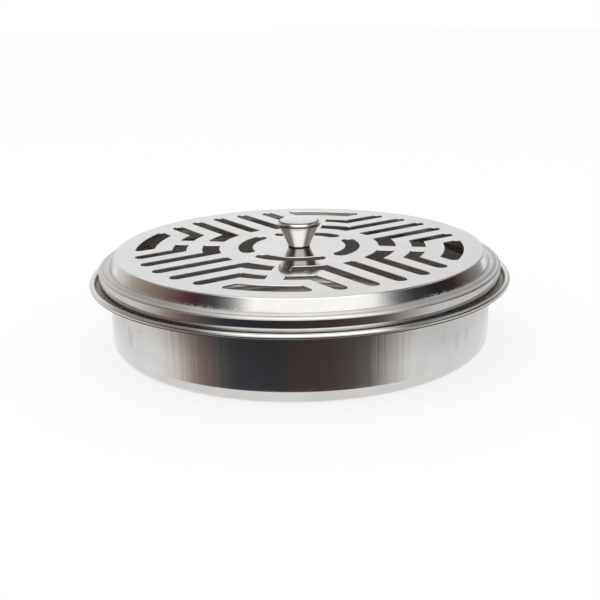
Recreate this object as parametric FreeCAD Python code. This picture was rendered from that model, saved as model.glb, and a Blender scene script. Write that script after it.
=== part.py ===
import FreeCAD, Part
import math
import os

from FreeCAD import Vector

# A covered tray in which a mosquito coil burns, pressed from thin stainless sheet.
# The dish carries a prong for the coil and a flange with a curled lip.  The pierced lid
# stands on that flange and is lifted off by a hollow knob.  All lengths are millimetres.
# The origin is on the floor under the middle of the dish, +Z is up, and the lid's slots
# are mirrored about X and about Y.

# Gauges of the metal
sheet = 0.5
knob_sheet = 0.35
stand_sheet = 0.5

# Clearances
lid_play = 1.5
screw_play = 0.2
thread_play = 0.05
rivet_play = 0.05
hem_play = 0.03
insert_play = 0.5
tongue_play = 0.4
rim_gap = 0.3

# How far every cutting tool runs past the metal, and the shortest edge worth drawing
overrun = 1.0
shortest_edge = 0.001

# Dish
dish_radius = 73.4
base_bend = 5.3
panel_margin = 16.4
panel_rise = 1.2
panel_upper_bend = 1.0
panel_lower_bend = 1.5
flange_height = 25.0
flange_width = 5.9
flange_bend = 0.6
lip_height = 2.8
lip_bend = 1.0
curl_radius = 1.1

# Lid
lid_rise = 11.5
top_bend = 0.8
bevel_run = 2.1
bevel_drop = 4.5
bevel_foot_bend = 0.4
bead_run = 1.4
bead_rise = 0.6
bead_bend = 0.9
groove_run = 1.2
groove_drop = 0.8
groove_bend = 0.6
shoulder_run = 1.7
shoulder_rise = 0.25
shoulder_bend = 1.1

# Slots of the lid, and the metal left between them, from the plate's edge inwards
edge_margin = 7.5
edge_slot_width = 7.2
edge_slot_bend = 1.8
edge_web = 7.2
long_leg_width = 5.3
leg_web = 6.2
short_leg_width = 6.5
hub_web = 7.5
hub_slot_width = 5.4
hub_bridge = 5.0
slot_width = 4.9
web_width = 6.6
middle_slot_setback = 0.5
slot_corner = 0.5

# Half the width of the fan of diagonal slots, as a share of their reach, and its steps
fan_share = 0.53
fan_steps = 3

# Knob
knob_height = 10.7
knob_radius = 8.4
knob_base_radius = 4.05
knob_base_bend = 0.6
crown_rise = 0.4
crown_shoulder = 1.5
hem_bend = 0.5
hem_length = 1.0
insert_height = 6.0
insert_chamfer = 0.5

# Screw and washer under the lid
screw_radius = 2.0
screw_reach = 5.5
screw_chamfer = 0.5
head_radius = 3.9
head_height = 2.2
head_bend = 1.2
washer_radius = 5.0
washer_thickness = 0.6

# Coil stand and its rivets
foot_width = 10.0
foot_corner = 3.0
prong_width = 5.0
prong_bend = 0.9
prong_shoulder = 11.0
prong_tip_width = 2.2
prong_tip_length = 5.0
prong_point_width = 0.8
rivet_land = 4.05
rivet_margin = 3.7
rivet_radius = 1.2
rivet_head_radius = 2.2
rivet_head_height = 0.8
rivet_tail_radius = 2.0
rivet_tail_height = 0.7

# Lines and places that follow from the sizes above
axis = Vector(0, 0, 1)
middle = Vector(0, 0, 0)
full_turn = 360
quarter_turn = 90
panel_radius = dish_radius - panel_margin
panel_top = panel_rise + sheet
lip_outer_radius = dish_radius + flange_width
rim_height = flange_height + lip_height
seat_height = flange_height + sheet
lid_height = seat_height + lid_rise
lid_radius = lip_outer_radius - sheet - lid_play
groove_radius = lid_radius - shoulder_run
bead_radius = groove_radius - groove_run
bevel_foot_radius = bead_radius - bead_run
top_radius = bevel_foot_radius - bevel_run
plate_underside = lid_height - sheet
slot_reach = top_radius - edge_margin
slot_pitch = slot_reach * fan_share / fan_steps
edge_slot_inner = slot_reach - edge_slot_width
long_leg_outer = edge_slot_inner - edge_web
long_leg_inner = long_leg_outer - long_leg_width
short_leg_outer = long_leg_inner - leg_web
short_leg_inner = short_leg_outer - short_leg_width
hub_slot_radius = short_leg_inner - hub_web - hub_slot_width / 2
middle_slot_start = short_leg_inner + middle_slot_setback
knob_top = lid_height + knob_height
crown_height = crown_shoulder + crown_rise
window_end = stand_sheet / 2 + prong_shoulder + prong_tip_length
rivet_reach = window_end + rivet_land


def unit(start, end):
    # Unit direction from one point of a profile to another
    run = end[0] - start[0]
    rise = end[1] - start[1]
    length = math.hypot(run, rise)
    return run / length, rise / length


def moved(point, direction, distance):
    # A profile point moved along a direction
    return point[0] + direction[0] * distance, point[1] + direction[1] * distance


def left_of(direction):
    # The direction a quarter turn to the left
    return -direction[1], direction[0]


def upright(point):
    # A profile point, given as radius and height, placed in the XZ plane
    return Vector(point[0], 0, point[1])


def line(start, end):
    return Part.LineSegment(start, end).toShape()


def arc(start, through, end):
    return Part.Arc(start, through, end).toShape()


def face_edges(path, bends, inset):
    # One face of a bent strip: the path itself, or the same path moved left by the inset
    edges = []
    heading = unit(path[0], path[1])
    here = moved(path[0], left_of(heading), inset)
    first = here
    for corner, following, bend in zip(path[1:], path[2:], bends):
        turned = unit(corner, following)
        cross = heading[0] * turned[1] - heading[1] * turned[0]
        dot = heading[0] * turned[0] + heading[1] * turned[1]
        side = math.copysign(1, cross)
        tangent = bend * math.tan(abs(math.atan2(cross, dot)) / 2)
        enter = moved(moved(corner, heading, -tangent), left_of(heading), inset)
        leave = moved(moved(corner, turned, tangent), left_of(turned), inset)
        centre = moved(enter, left_of(heading), side * bend - inset)
        crest = moved(centre, unit(centre, corner), bend - side * inset)
        if math.dist(here, enter) > shortest_edge:
            edges.append(line(upright(here), upright(enter)))
        edges.append(arc(upright(enter), upright(crest), upright(leave)))
        here = leave
        heading = turned
    last = moved(path[-1], left_of(heading), inset)
    if math.dist(here, last) > shortest_edge:
        edges.append(line(upright(here), upright(last)))
    return edges, first, last


def spun_sheet(path, bends, gauge):
    # A sheet pressed to a profile and turned about the middle.  The path, as radius and
    # height, runs along one face, and the metal lies on its left.
    edges, start, end = face_edges(path, bends, 0)
    inner_edges, inner_start, inner_end = face_edges(path, bends, gauge)
    edges.extend(inner_edges)
    edges.append(line(upright(start), upright(inner_start)))
    edges.append(line(upright(end), upright(inner_end)))
    return spun(edges)


def spun(edges):
    # A solid of revolution about the vertical middle line
    outline = Part.Wire(Part.sortEdges(edges)[0])
    return Part.Face(outline).revolve(middle, axis, full_turn)


def cylinder(radius, height, floor):
    return Part.makeCylinder(radius, height, Vector(0, 0, floor))


def rounded(prism, corners, radius):
    # Round the upright edges that stand over the given corners
    edges = []
    for edge in prism.Edges:
        ends = [Vector(v.X, v.Y, 0) for v in edge.Vertexes]
        if len(ends) == 2 and ends[0].distanceToPoint(ends[1]) < shortest_edge:
            if min(ends[0].distanceToPoint(corner) for corner in corners) < shortest_edge:
                edges.append(edge)
    return prism.makeFillet(radius, edges)


# Dish

def at_rivets(shape):
    # Copies of a shape at the places of the stand's rivets
    copies = []
    for side in (-1, 1):
        copy = shape.copy()
        copy.translate(Vector(side * rivet_reach, 0, 0))
        copies.append(copy)
    return copies


def rivet_drills():
    # Tools that pierce the panel and the stand's foot for the rivets
    depth = panel_top + stand_sheet + 2 * overrun
    return at_rivets(cylinder(rivet_radius + rivet_play, depth, -overrun))


def make_dish():
    # Base with a raised panel, upright wall, seat for the lid, and a lip curled outwards
    curl_hollow = curl_radius - sheet
    curl_middle = rim_height - curl_radius
    path = [
        (0, panel_rise),
        (panel_radius, panel_rise),
        (panel_radius + panel_rise, 0),
        (dish_radius, 0),
        (dish_radius, flange_height),
        (lip_outer_radius, flange_height),
        (lip_outer_radius, curl_middle + curl_hollow),
        (lip_outer_radius + 2 * curl_hollow, curl_middle + curl_hollow),
        (lip_outer_radius + 2 * curl_hollow, curl_middle - curl_hollow),
        (lip_outer_radius + curl_hollow, curl_middle - curl_hollow),
    ]
    bends = [panel_upper_bend, panel_lower_bend, base_bend, flange_bend, lip_bend]
    bends.extend([curl_hollow, curl_hollow, curl_hollow])
    return spun_sheet(path, bends, sheet).cut(rivet_drills())


# Lid

def on_diagonal(along, across):
    # A point of the first quadrant, measured along its 45 degree line and across it
    cosine = math.cos(math.radians(quarter_turn / 2))
    return Vector((along - across) * cosine, (along + across) * cosine, 0)


def along_circle(radius, across):
    # How far along the diagonal a line beside it meets a circle about the middle
    return math.sqrt(radius ** 2 - across ** 2)


def round_middle(start, end, radius):
    # An arc about the middle, the short way from start to end
    bisector = (start + end).normalize()
    return arc(start, bisector * radius, end)


def punch(edges):
    # The tool that pierces the lid's plate with an outline
    outline = Part.Face(Part.Wire(edges))
    outline.translate(Vector(0, 0, plate_underside - overrun))
    return outline.extrude(Vector(0, 0, sheet + 2 * overrun))


def slot_tip(across):
    # The round outer end of a diagonal slot: its two corners and its crest
    half = slot_width / 2
    centre = along_circle(slot_reach - half, across)
    return (
        on_diagonal(centre, across + half),
        on_diagonal(centre + half, across),
        on_diagonal(centre, across - half),
    )


def middle_slot():
    # The straight slot on the 45 degree line
    half = slot_width / 2
    near_left = on_diagonal(middle_slot_start, half)
    near_right = on_diagonal(middle_slot_start, -half)
    far_left, crest, far_right = slot_tip(0)
    edges = [
        line(near_left, far_left),
        arc(far_left, crest, far_right),
        line(far_right, near_right),
        line(near_right, near_left),
    ]
    return rounded(punch(edges), [near_left, near_right], slot_corner)


def bent_slot(across, inner, outer):
    # A slot that runs beside the diagonal and then turns along a ring to the web on the axis
    half = slot_width / 2
    web = web_width / 2
    web_outer = Vector(web, along_circle(outer, web), 0)
    web_inner = Vector(web, along_circle(inner, web), 0)
    elbow_outer = on_diagonal(along_circle(outer, across + half), across + half)
    elbow_inner = on_diagonal(along_circle(inner, across - half), across - half)
    tip_outer, crest, tip_inner = slot_tip(across)
    edges = [
        round_middle(web_outer, elbow_outer, outer),
        line(elbow_outer, tip_outer),
        arc(tip_outer, crest, tip_inner),
        line(tip_inner, elbow_inner),
        round_middle(elbow_inner, web_inner, inner),
        line(web_inner, web_outer),
    ]
    return rounded(punch(edges), [web_outer, web_inner, elbow_outer, elbow_inner], slot_corner)


def hub_slot():
    # A short ring slot with round ends, across the X axis and clear of the diagonal bridges
    half = hub_slot_width / 2
    beside_bridge = math.asin((hub_bridge / 2 + half) / hub_slot_radius)
    turn = math.radians(quarter_turn / 2) - beside_bridge
    upper = Vector(math.cos(turn), math.sin(turn), 0)
    lower = Vector(math.cos(turn), -math.sin(turn), 0)
    upper_side = Vector(-math.sin(turn), math.cos(turn), 0)
    lower_side = Vector(-math.sin(turn), -math.cos(turn), 0)
    outer = hub_slot_radius + half
    inner = hub_slot_radius - half
    edges = [
        round_middle(lower * outer, upper * outer, outer),
        arc(upper * outer, upper * hub_slot_radius + upper_side * half, upper * inner),
        round_middle(upper * inner, lower * inner, inner),
        arc(lower * inner, lower * hub_slot_radius + lower_side * half, lower * outer),
    ]
    return punch(edges)


def edge_slot():
    # A ring slot at the edge across the X axis, its ends parallel to the diagonal slots
    across = slot_width / 2 - fan_steps * slot_pitch
    outer_end = on_diagonal(along_circle(slot_reach, across), across)
    inner_end = on_diagonal(along_circle(edge_slot_inner, across), across)
    outer_start = Vector(outer_end.x, -outer_end.y, 0)
    inner_start = Vector(inner_end.x, -inner_end.y, 0)
    edges = [
        round_middle(outer_start, outer_end, slot_reach),
        line(outer_end, inner_end),
        round_middle(inner_end, inner_start, edge_slot_inner),
        line(inner_start, outer_start),
    ]
    tool = rounded(punch(edges), [outer_end, outer_start], edge_slot_bend)
    return rounded(tool, [inner_end, inner_start], slot_corner)


def lid_punches():
    # One quarter of the pattern, mirrored about its diagonal and turned round the middle
    bent = [
        bent_slot(slot_pitch, short_leg_inner, short_leg_outer),
        bent_slot(2 * slot_pitch, long_leg_inner, long_leg_outer),
    ]
    mirrored = [tool.mirror(middle, Vector(1, -1, 0)) for tool in bent]
    quarter = [middle_slot(), hub_slot(), edge_slot()] + bent + mirrored
    tools = []
    for step in range(full_turn // quarter_turn):
        for tool in quarter:
            copy = tool.copy()
            copy.rotate(middle, axis, step * quarter_turn)
            tools.append(copy)
    return tools


def make_lid():
    # Skirt, rounded shoulder, groove, bead, steep bevel and a flat pierced top
    bevel_foot = lid_height - bevel_drop
    bead_height = bevel_foot + bead_rise
    groove_height = bead_height - groove_drop
    path = [
        (lid_radius, seat_height),
        (lid_radius, groove_height + shoulder_rise),
        (groove_radius, groove_height),
        (bead_radius, bead_height),
        (bevel_foot_radius, bevel_foot),
        (top_radius, lid_height),
        (0, lid_height),
    ]
    bends = [shoulder_bend, groove_bend, bead_bend, bevel_foot_bend, top_bend]
    lid = spun_sheet(path, bends, sheet)
    hole = cylinder(screw_radius + screw_play, sheet + 2 * overrun, plate_underside - overrun)
    return lid.cut(lid_punches() + [hole])


# Knob

def knob_lines():
    # The crown's widest ring and the direction of the cone's side
    ring = (knob_radius, knob_top - crown_height)
    base = (knob_base_radius, lid_height)
    reach = math.dist(base, ring)
    slope = math.atan2(ring[1] - base[1], ring[0] - base[0])
    slope += math.asin((knob_sheet + hem_play) / reach)
    return ring, (math.cos(slope), math.sin(slope))


def make_knob_cone():
    # Flat floor with a screw hole, and a side that flares up into the cap's hem
    ring, side = knob_lines()
    base = (knob_base_radius, lid_height)
    top = moved(base, side, (ring[1] - rim_gap - base[1]) / side[1])
    path = [(screw_radius + screw_play, lid_height), base, top]
    return spun_sheet(path, [knob_base_bend], knob_sheet)


def make_knob_cap():
    # Shallow crown, rounded shoulder, and a hem that lies round the top of the cone
    ring, side = knob_lines()
    shoulder = (ring[0] - crown_shoulder, ring[1])
    spread = shoulder[0] ** 2 + crown_height ** 2 - crown_shoulder ** 2
    crown = spread / (2 * (crown_height - crown_shoulder))
    crown_middle = (0, knob_top - crown)
    to_shoulder = unit(crown_middle, shoulder)
    halfway = unit((0, 0), (to_shoulder[0] / 2, (1 + to_shoulder[1]) / 2))
    rising = unit((0, 0), (1 + to_shoulder[0], to_shoulder[1]))
    foot = moved(ring, side, -hem_length)
    turn = math.atan2(side[0], side[1])
    edges = []
    ends = []
    for inset in (0, knob_sheet):
        tangent = hem_bend * math.tan(turn / 2)
        hem_foot = moved(foot, left_of(side), inset)
        hem_top = moved(moved(ring, side, -tangent), left_of(side), inset)
        bend_middle = (ring[0] - hem_bend, ring[1] + tangent)
        bend_crest = moved(bend_middle, unit(bend_middle, ring), hem_bend - inset)
        bend_top = (ring[0] - inset, ring[1] + tangent)
        lift = math.asin(tangent / (crown_shoulder - inset))
        wall_top = (shoulder[0] + (crown_shoulder - inset) * math.cos(lift), ring[1] + tangent)
        meet = moved(shoulder, to_shoulder, crown_shoulder - inset)
        edges.append(line(upright(hem_foot), upright(hem_top)))
        edges.append(arc(upright(hem_top), upright(bend_crest), upright(bend_top)))
        edges.append(line(upright(bend_top), upright(wall_top)))
        shoulder_crest = moved(shoulder, rising, crown_shoulder - inset)
        edges.append(arc(upright(wall_top), upright(shoulder_crest), upright(meet)))
        crown_crest = moved(crown_middle, halfway, crown - inset)
        top = (0, knob_top - inset)
        edges.append(arc(upright(meet), upright(crown_crest), upright(top)))
        ends.append((hem_foot, top))
    edges.append(line(upright(ends[0][0]), upright(ends[1][0])))
    edges.append(line(upright(ends[0][1]), upright(ends[1][1])))
    return spun(edges)


def make_knob_insert():
    # Threaded boss on the cone's floor, which takes the screw
    floor = lid_height + knob_sheet
    radius = knob_base_radius - knob_sheet - insert_play
    boss = cylinder(radius, insert_height, floor)
    boss = boss.makeChamfer(insert_chamfer, [boss.Edges[0]])
    hole = cylinder(screw_radius + thread_play, insert_height + 2 * overrun, floor - overrun)
    return boss.cut(hole)


def make_knob_screw():
    # Pan-head screw, driven upwards through the washer and the lid into the boss
    head_top = plate_underside - washer_thickness
    head_bottom = head_top - head_height
    tip = lid_height + knob_sheet + screw_reach
    flat = (head_radius - head_bend, head_bottom)
    rim = (head_radius, head_bottom + head_bend)
    slant = math.radians(quarter_turn / 2)
    bend_middle = (flat[0], rim[1])
    crest = moved(bend_middle, (math.cos(slant), -math.sin(slant)), head_bend)
    outline = [
        rim,
        (head_radius, head_top),
        (screw_radius, head_top),
        (screw_radius, tip - screw_chamfer),
        (screw_radius - screw_chamfer, tip),
        (0, tip),
        (0, head_bottom),
        flat,
    ]
    corners = [upright(point) for point in outline]
    edges = [line(a, b) for a, b in zip(corners, corners[1:])]
    edges.append(arc(upright(flat), upright(crest), upright(rim)))
    return spun(edges)


def make_knob_washer():
    # Flat washer between the screw's head and the lid
    floor = plate_underside - washer_thickness
    hole = cylinder(screw_radius + screw_play, washer_thickness + 2 * overrun, floor - overrun)
    return cylinder(washer_radius, washer_thickness, floor).cut(hole)


# Coil stand

def block(low, high):
    # A block between two opposite corners
    return Part.makeBox(high.x - low.x, high.y - low.y, high.z - low.z, low)


def make_stand_foot():
    # Flat strip with round corners and the window that the tongue was lanced out of
    top = panel_top + stand_sheet
    across = Vector(0, foot_width / 2, 0)
    reach = Vector(rivet_reach + rivet_margin, 0, 0)
    strip = block(Vector(0, 0, panel_top) - reach - across, Vector(0, 0, top) + reach + across)
    corners = [reach + across, reach - across, across - reach, -reach - across]
    strip = rounded(strip, corners, foot_corner)
    root = stand_sheet / 2 - prong_bend
    margin = prong_width / 2 + tongue_play
    window = block(Vector(root, -margin, panel_top - overrun), Vector(window_end, margin, top + overrun))
    return strip.cut(window)


def make_prong():
    # The tongue: a tight quarter bend, an upright stem, two shoulders and a tapered tip
    floor = panel_top + prong_bend
    bend_middle = Vector(stand_sheet / 2 - prong_bend, -prong_width / 2, floor)
    along = Vector(0, 1, 0)
    outside = Part.makeCylinder(prong_bend, prong_width, bend_middle, along)
    inside = Part.makeCylinder(prong_bend - stand_sheet, prong_width, bend_middle, along)
    quadrant = block(bend_middle - Vector(0, 0, prong_bend), bend_middle + Vector(prong_bend, prong_width, 0))
    bend = outside.cut(inside).common(quadrant)
    shoulder = panel_top + prong_shoulder
    right_half = [
        (prong_width / 2, floor),
        (prong_width / 2, shoulder),
        (prong_tip_width / 2, shoulder),
        (prong_point_width / 2, shoulder + prong_tip_length),
    ]
    left_half = [(-across, height) for across, height in reversed(right_half)]
    points = [Vector(-stand_sheet / 2, across, height) for across, height in right_half + left_half]
    stem = Part.Face(Part.makePolygon(points + points[:1])).extrude(Vector(stand_sheet, 0, 0))
    return [bend, stem]


def make_coil_stand():
    stand = make_stand_foot().fuse(make_prong())
    return stand.cut(rivet_drills()).removeSplitter()


def dome(radius, floor, height):
    # A round cap that stands on a floor, or hangs below it where its height is negative
    sphere = (radius ** 2 + height ** 2) / (2 * height)
    halfway = math.asin(radius / sphere) / 2
    sphere_middle = floor + height - sphere
    crest = (sphere * math.sin(halfway), sphere_middle + sphere * math.cos(halfway))
    return arc(upright((radius, floor)), upright(crest), upright((0, floor + height)))


def make_rivet():
    # Domed head on the stand's foot, shank through the panel, and a domed tail below it
    head_floor = panel_top + stand_sheet
    head_top = head_floor + rivet_head_height
    tail_bottom = panel_rise - rivet_tail_height
    edges = [
        dome(rivet_tail_radius, panel_rise, -rivet_tail_height),
        line(upright((rivet_tail_radius, panel_rise)), upright((rivet_radius, panel_rise))),
        line(upright((rivet_radius, panel_rise)), upright((rivet_radius, head_floor))),
        line(upright((rivet_radius, head_floor)), upright((rivet_head_radius, head_floor))),
        dome(rivet_head_radius, head_floor, rivet_head_height),
        line(upright((0, head_top)), upright((0, tail_bottom))),
    ]
    return spun(edges)


def make_stand_rivets():
    return Part.makeCompound(at_rivets(make_rivet()))


# Write every piece

pieces = {
    "dish": make_dish,
    "coil_stand": make_coil_stand,
    "stand_rivets": make_stand_rivets,
    "lid": make_lid,
    "knob_cone": make_knob_cone,
    "knob_cap": make_knob_cap,
    "knob_insert": make_knob_insert,
    "knob_screw": make_knob_screw,
    "knob_washer": make_knob_washer,
}

os.makedirs("parts", exist_ok=True)
for name, make in pieces.items():
    shape = make()
    shape.exportStep(os.path.join("parts", name + ".step"))
    reach = shape.BoundBox
    print(f"{name}: {len(shape.Solids)} solid, {shape.Volume:.1f} mm3, {len(shape.Faces)} faces, "
          f"z {reach.ZMin:.2f} to {reach.ZMax:.2f}, valid {shape.isValid()}")
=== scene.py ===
# %% [markdown]
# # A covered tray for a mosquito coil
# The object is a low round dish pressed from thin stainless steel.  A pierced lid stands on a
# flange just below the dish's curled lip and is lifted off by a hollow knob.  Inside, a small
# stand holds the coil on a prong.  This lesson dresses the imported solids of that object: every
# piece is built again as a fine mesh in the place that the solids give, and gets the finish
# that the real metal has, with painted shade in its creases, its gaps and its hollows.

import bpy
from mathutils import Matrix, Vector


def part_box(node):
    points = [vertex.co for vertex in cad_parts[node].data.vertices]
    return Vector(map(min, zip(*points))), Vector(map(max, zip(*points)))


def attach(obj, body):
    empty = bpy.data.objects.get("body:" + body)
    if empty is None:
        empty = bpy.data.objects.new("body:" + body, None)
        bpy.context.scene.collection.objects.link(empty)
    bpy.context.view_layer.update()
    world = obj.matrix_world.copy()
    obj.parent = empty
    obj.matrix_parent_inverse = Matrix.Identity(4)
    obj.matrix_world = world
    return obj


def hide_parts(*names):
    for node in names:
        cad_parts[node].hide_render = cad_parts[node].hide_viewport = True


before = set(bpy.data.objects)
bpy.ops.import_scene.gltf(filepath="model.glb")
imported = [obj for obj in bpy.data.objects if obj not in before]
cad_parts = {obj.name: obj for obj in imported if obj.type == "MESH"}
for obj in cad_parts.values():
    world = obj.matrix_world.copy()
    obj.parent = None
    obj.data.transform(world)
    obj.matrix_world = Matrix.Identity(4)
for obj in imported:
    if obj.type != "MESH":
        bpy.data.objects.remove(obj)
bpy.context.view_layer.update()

# %% Tools of the lesson
import math

import bmesh
import bpy
from mathutils import Matrix, Vector

scene = bpy.context.scene
MM = 0.001
FULL_TURN = 2 * math.pi


def placed(name, data):
    """A new object of the scene."""
    made = bpy.data.objects.new(name, data)
    scene.collection.objects.link(made)
    return made


def kept(work, name):
    """A new mesh of what a bmesh holds; the bmesh ends with it."""
    mesh = bpy.data.meshes.new(name)
    work.to_mesh(mesh)
    work.free()
    return mesh


print("one millimetre is", MM, "Blender units")

# %% [markdown]
# ## Sizes
# Overall sizes are read from the frame, so the meshes always meet the solids that they stand
# for.  The small bends of a pressed sheet can't be read from a box.  They are the same few
# numbers that a toolmaker would put on the drawing, in millimetres times `MM`.

# %% Sizes read from the frame
rim_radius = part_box("dish")[1].x
rim_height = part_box("dish")[1].z
lid_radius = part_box("lid")[1].x
lid_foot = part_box("lid")[0].z
lid_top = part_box("lid")[1].z
knob_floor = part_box("knob_cone")[0].z
knob_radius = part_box("knob_cap")[1].x
knob_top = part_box("knob_cap")[1].z
screw_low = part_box("knob_screw")[0].z
screw_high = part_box("knob_screw")[1].z
washer_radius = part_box("knob_washer")[1].x
washer_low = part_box("knob_washer")[0].z
print(f"rim {rim_radius:.4f}, lid {lid_radius:.4f}, knob top {knob_top:.4f}")

# %% Sizes of the dish
SHEET = 0.5 * MM
CURL_RADIUS = 1.1 * MM
CURL_HOLLOW = CURL_RADIUS - SHEET
FLANGE_WIDTH = 5.9 * MM
BASE_BEND = 5.3 * MM
PANEL_MARGIN = 16.4 * MM
PANEL_RISE = 1.2 * MM
lip_radius = rim_radius - 2 * CURL_RADIUS + SHEET
dish_radius = lip_radius - FLANGE_WIDTH
seat_height = lid_foot - SHEET
panel_radius = dish_radius - PANEL_MARGIN
print(f"dish wall radius {dish_radius:.4f}, flange height {seat_height:.4f}")

# %% Sizes of the steps in the lid
SHOULDER_RUN = 1.7 * MM
SHOULDER_RISE = 0.25 * MM
GROOVE_RUN = 1.2 * MM
GROOVE_DROP = 0.8 * MM
BEAD_RUN = 1.4 * MM
BEAD_RISE = 0.6 * MM
BEVEL_RUN = 2.1 * MM
BEVEL_DROP = 4.5 * MM
EDGE_MARGIN = 7.5 * MM
SCREW_HOLE = 2.2 * MM
groove_radius = lid_radius - SHOULDER_RUN
bead_radius = groove_radius - GROOVE_RUN
bevel_foot_radius = bead_radius - BEAD_RUN
top_radius = bevel_foot_radius - BEVEL_RUN
slot_reach = top_radius - EDGE_MARGIN
weld_radius = (top_radius + slot_reach) / 2
underside = lid_top - SHEET
print(f"groove {groove_radius:.4f}, bevel foot {bevel_foot_radius:.4f}, top {top_radius:.4f}")

# %% Sizes of the knob
KNOB_SHEET = 0.35 * MM
KNOB_BASE = 4.05 * MM
CROWN_SHOULDER = 1.5 * MM
CROWN_RISE = 0.4 * MM
CROWN_HEIGHT = CROWN_SHOULDER + CROWN_RISE
HEM_LENGTH = 1.0 * MM
hem_top = knob_top - CROWN_HEIGHT
hem_foot = knob_top - CROWN_HEIGHT - HEM_LENGTH
print(f"the cap's hem ends at about {hem_foot:.4f}")

# %% [markdown]
# ## Camera
# The photograph looks down on the tray from a little above its lid, through a lens of medium
# length.  The place and tilt below were found by fitting the ellipses of the rim, the lid and
# the base.  The slots show that the lid is turned about ten degrees to the lens, so the camera
# goes round the tray by that much.

# %% Camera
LENS = 61.7
NEAREST = 10 * MM
TRAY_TURN = math.radians(10.58)
CAMERA_DISTANCE = 389.28 * MM
CAMERA_HEIGHT = 132.83 * MM
CAMERA_PITCH = math.radians(16.857)
CAMERA_ROLL = math.radians(1.04)


def make_camera():
    data = bpy.data.cameras.new("camera")
    data.lens = LENS
    data.clip_start = NEAREST
    camera = placed("camera", data)
    about = Matrix.Rotation(TRAY_TURN, 4, "Z")
    place = Matrix.Translation(about @ Vector((0, -CAMERA_DISTANCE, CAMERA_HEIGHT)))
    tilt = Matrix.Rotation(math.pi / 2 - CAMERA_PITCH, 4, "X")
    camera.matrix_world = place @ about @ tilt @ Matrix.Rotation(-CAMERA_ROLL, 4, "Z")
    scene.camera = camera
    return camera


camera = make_camera()
scene.view_settings.view_transform = "Standard"
print("camera at", tuple(round(value, 4) for value in camera.location))

# %% [markdown]
# ## Node helpers
# Materials and Geometry Nodes trees are both built from nodes.  `put` adds a node, sets its
# options and fills its inputs, either with a value or with a link from another node.  The other
# helpers are short forms of it: `calc`, `aim` and `measure` for the Math and Vector Math nodes,
# `split` and `combine` for the parts of a vector, `rescale` and `ramp` for ranges and colours.

# %% Node helpers


def put(tree, kind, values=None, **options):
    """Add a node; a value that is an output socket is linked, any other is set."""
    node = tree.nodes.new(kind)
    for option, value in options.items():
        setattr(node, option, value)
    for name, value in (values or {}).items():
        if isinstance(value, bpy.types.NodeSocket):
            tree.links.new(value, node.inputs[name])
        else:
            node.inputs[name].default_value = value
    return node


def calc(tree, operation, *values):
    """The output of a Math node."""
    return put(tree, "ShaderNodeMath", dict(enumerate(values)), operation=operation).outputs[0]


def vector_math(tree, operation, values):
    return put(tree, "ShaderNodeVectorMath", dict(enumerate(values)), operation=operation)


def aim(tree, operation, *values):
    """The vector that a Vector Math node gives."""
    return vector_math(tree, operation, values).outputs["Vector"]


def measure(tree, operation, *values):
    """The number that a Vector Math node gives."""
    return vector_math(tree, operation, values).outputs["Value"]


def split(tree, vector):
    """The parts of a vector, by the names X, Y and Z."""
    return put(tree, "ShaderNodeSeparateXYZ", {"Vector": vector}).outputs


def combine(tree, **parts):
    """A vector of its parts X, Y and Z."""
    return put(tree, "ShaderNodeCombineXYZ", parts).outputs[0]


def rescale(tree, value, start, end, low=0.0, high=1.0):
    """Map a value from one range onto another and stop at its ends."""
    values = {"Value": value, "From Min": start, "From Max": end, "To Min": low, "To Max": high}
    return put(tree, "ShaderNodeMapRange", values).outputs["Result"]


print("short forms", [form.__name__ for form in (calc, aim, measure, split, combine, rescale)])

# %% Colours and outputs of a tree


def rgba(tone):
    """A colour with its alpha; a plain number is a grey."""
    colour = (tone,) * 3 if isinstance(tone, (int, float)) else tuple(tone)
    return colour + (1,) * (4 - len(colour))


def ramp(tree, factor, stops):
    """A Color Ramp with the given (position, tone) stops."""
    node = put(tree, "ShaderNodeValToRGB", {"Fac": factor})
    elements = node.color_ramp.elements
    while len(elements) < len(stops):
        elements.new(1)
    for element, (position, tone) in zip(elements, stops):
        element.position = position
        element.color = rgba(tone)
    return node.outputs["Color"]


def blend(tree, factor, first, second):
    """The first colour where the factor is zero, the second where it is one."""
    values = {"Factor": factor, "A": first, "B": second}
    return put(tree, "ShaderNodeMix", values, data_type="RGBA").outputs["Result"]


def emptied(owner):
    """The node tree of a world or material, without the nodes that it starts with."""
    owner.use_nodes = True
    owner.node_tree.nodes.clear()
    return owner.node_tree


def show(tree, shader, kind="Material"):
    """Send a shader to the tree's output."""
    put(tree, "ShaderNodeOutput" + kind, {"Surface": shader.outputs[0]})


print("a plain tone becomes", rgba(0.5))

# %% [markdown]
# ## Studio
# The photograph is a product shot on pure white.  A mirror finish has no look of its own: it
# shows its surroundings.  So the studio has two parts.  The floor and the world are white to
# the camera and light the tray plainly.  Around them stands what the steel reflects, seen by
# glossy rays alone: a bright softbox over the camera, dark flags to its left and right, the
# dim room behind the tray, and the dark front of the table, whose reflection makes the dark
# middle of the dish's wall.

# %% World and floor
FLOOR_REACH = 3.0
WORLD_LIGHT = 0.95
FLOOR_TONE = 0.95
FLOOR_GLOW_SHARE = 0.75
WHITE = rgba(1)


def seen_directly(tree):
    """One for camera, glossy and transmission rays, else zero."""
    path = put(tree, "ShaderNodeLightPath")
    seen = calc(tree, "MAXIMUM", path.outputs["Is Camera Ray"], path.outputs["Is Glossy Ray"])
    return calc(tree, "MAXIMUM", seen, path.outputs["Is Transmission Ray"])


def make_world():
    scene.world = bpy.data.worlds.new("white_studio")
    tree = emptied(scene.world)
    gain = calc(tree, "MULTIPLY", seen_directly(tree), 1 - WORLD_LIGHT)
    strength = calc(tree, "ADD", gain, WORLD_LIGHT)
    glow = put(tree, "ShaderNodeBackground", {"Color": WHITE, "Strength": strength})
    show(tree, glow, "World")


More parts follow.
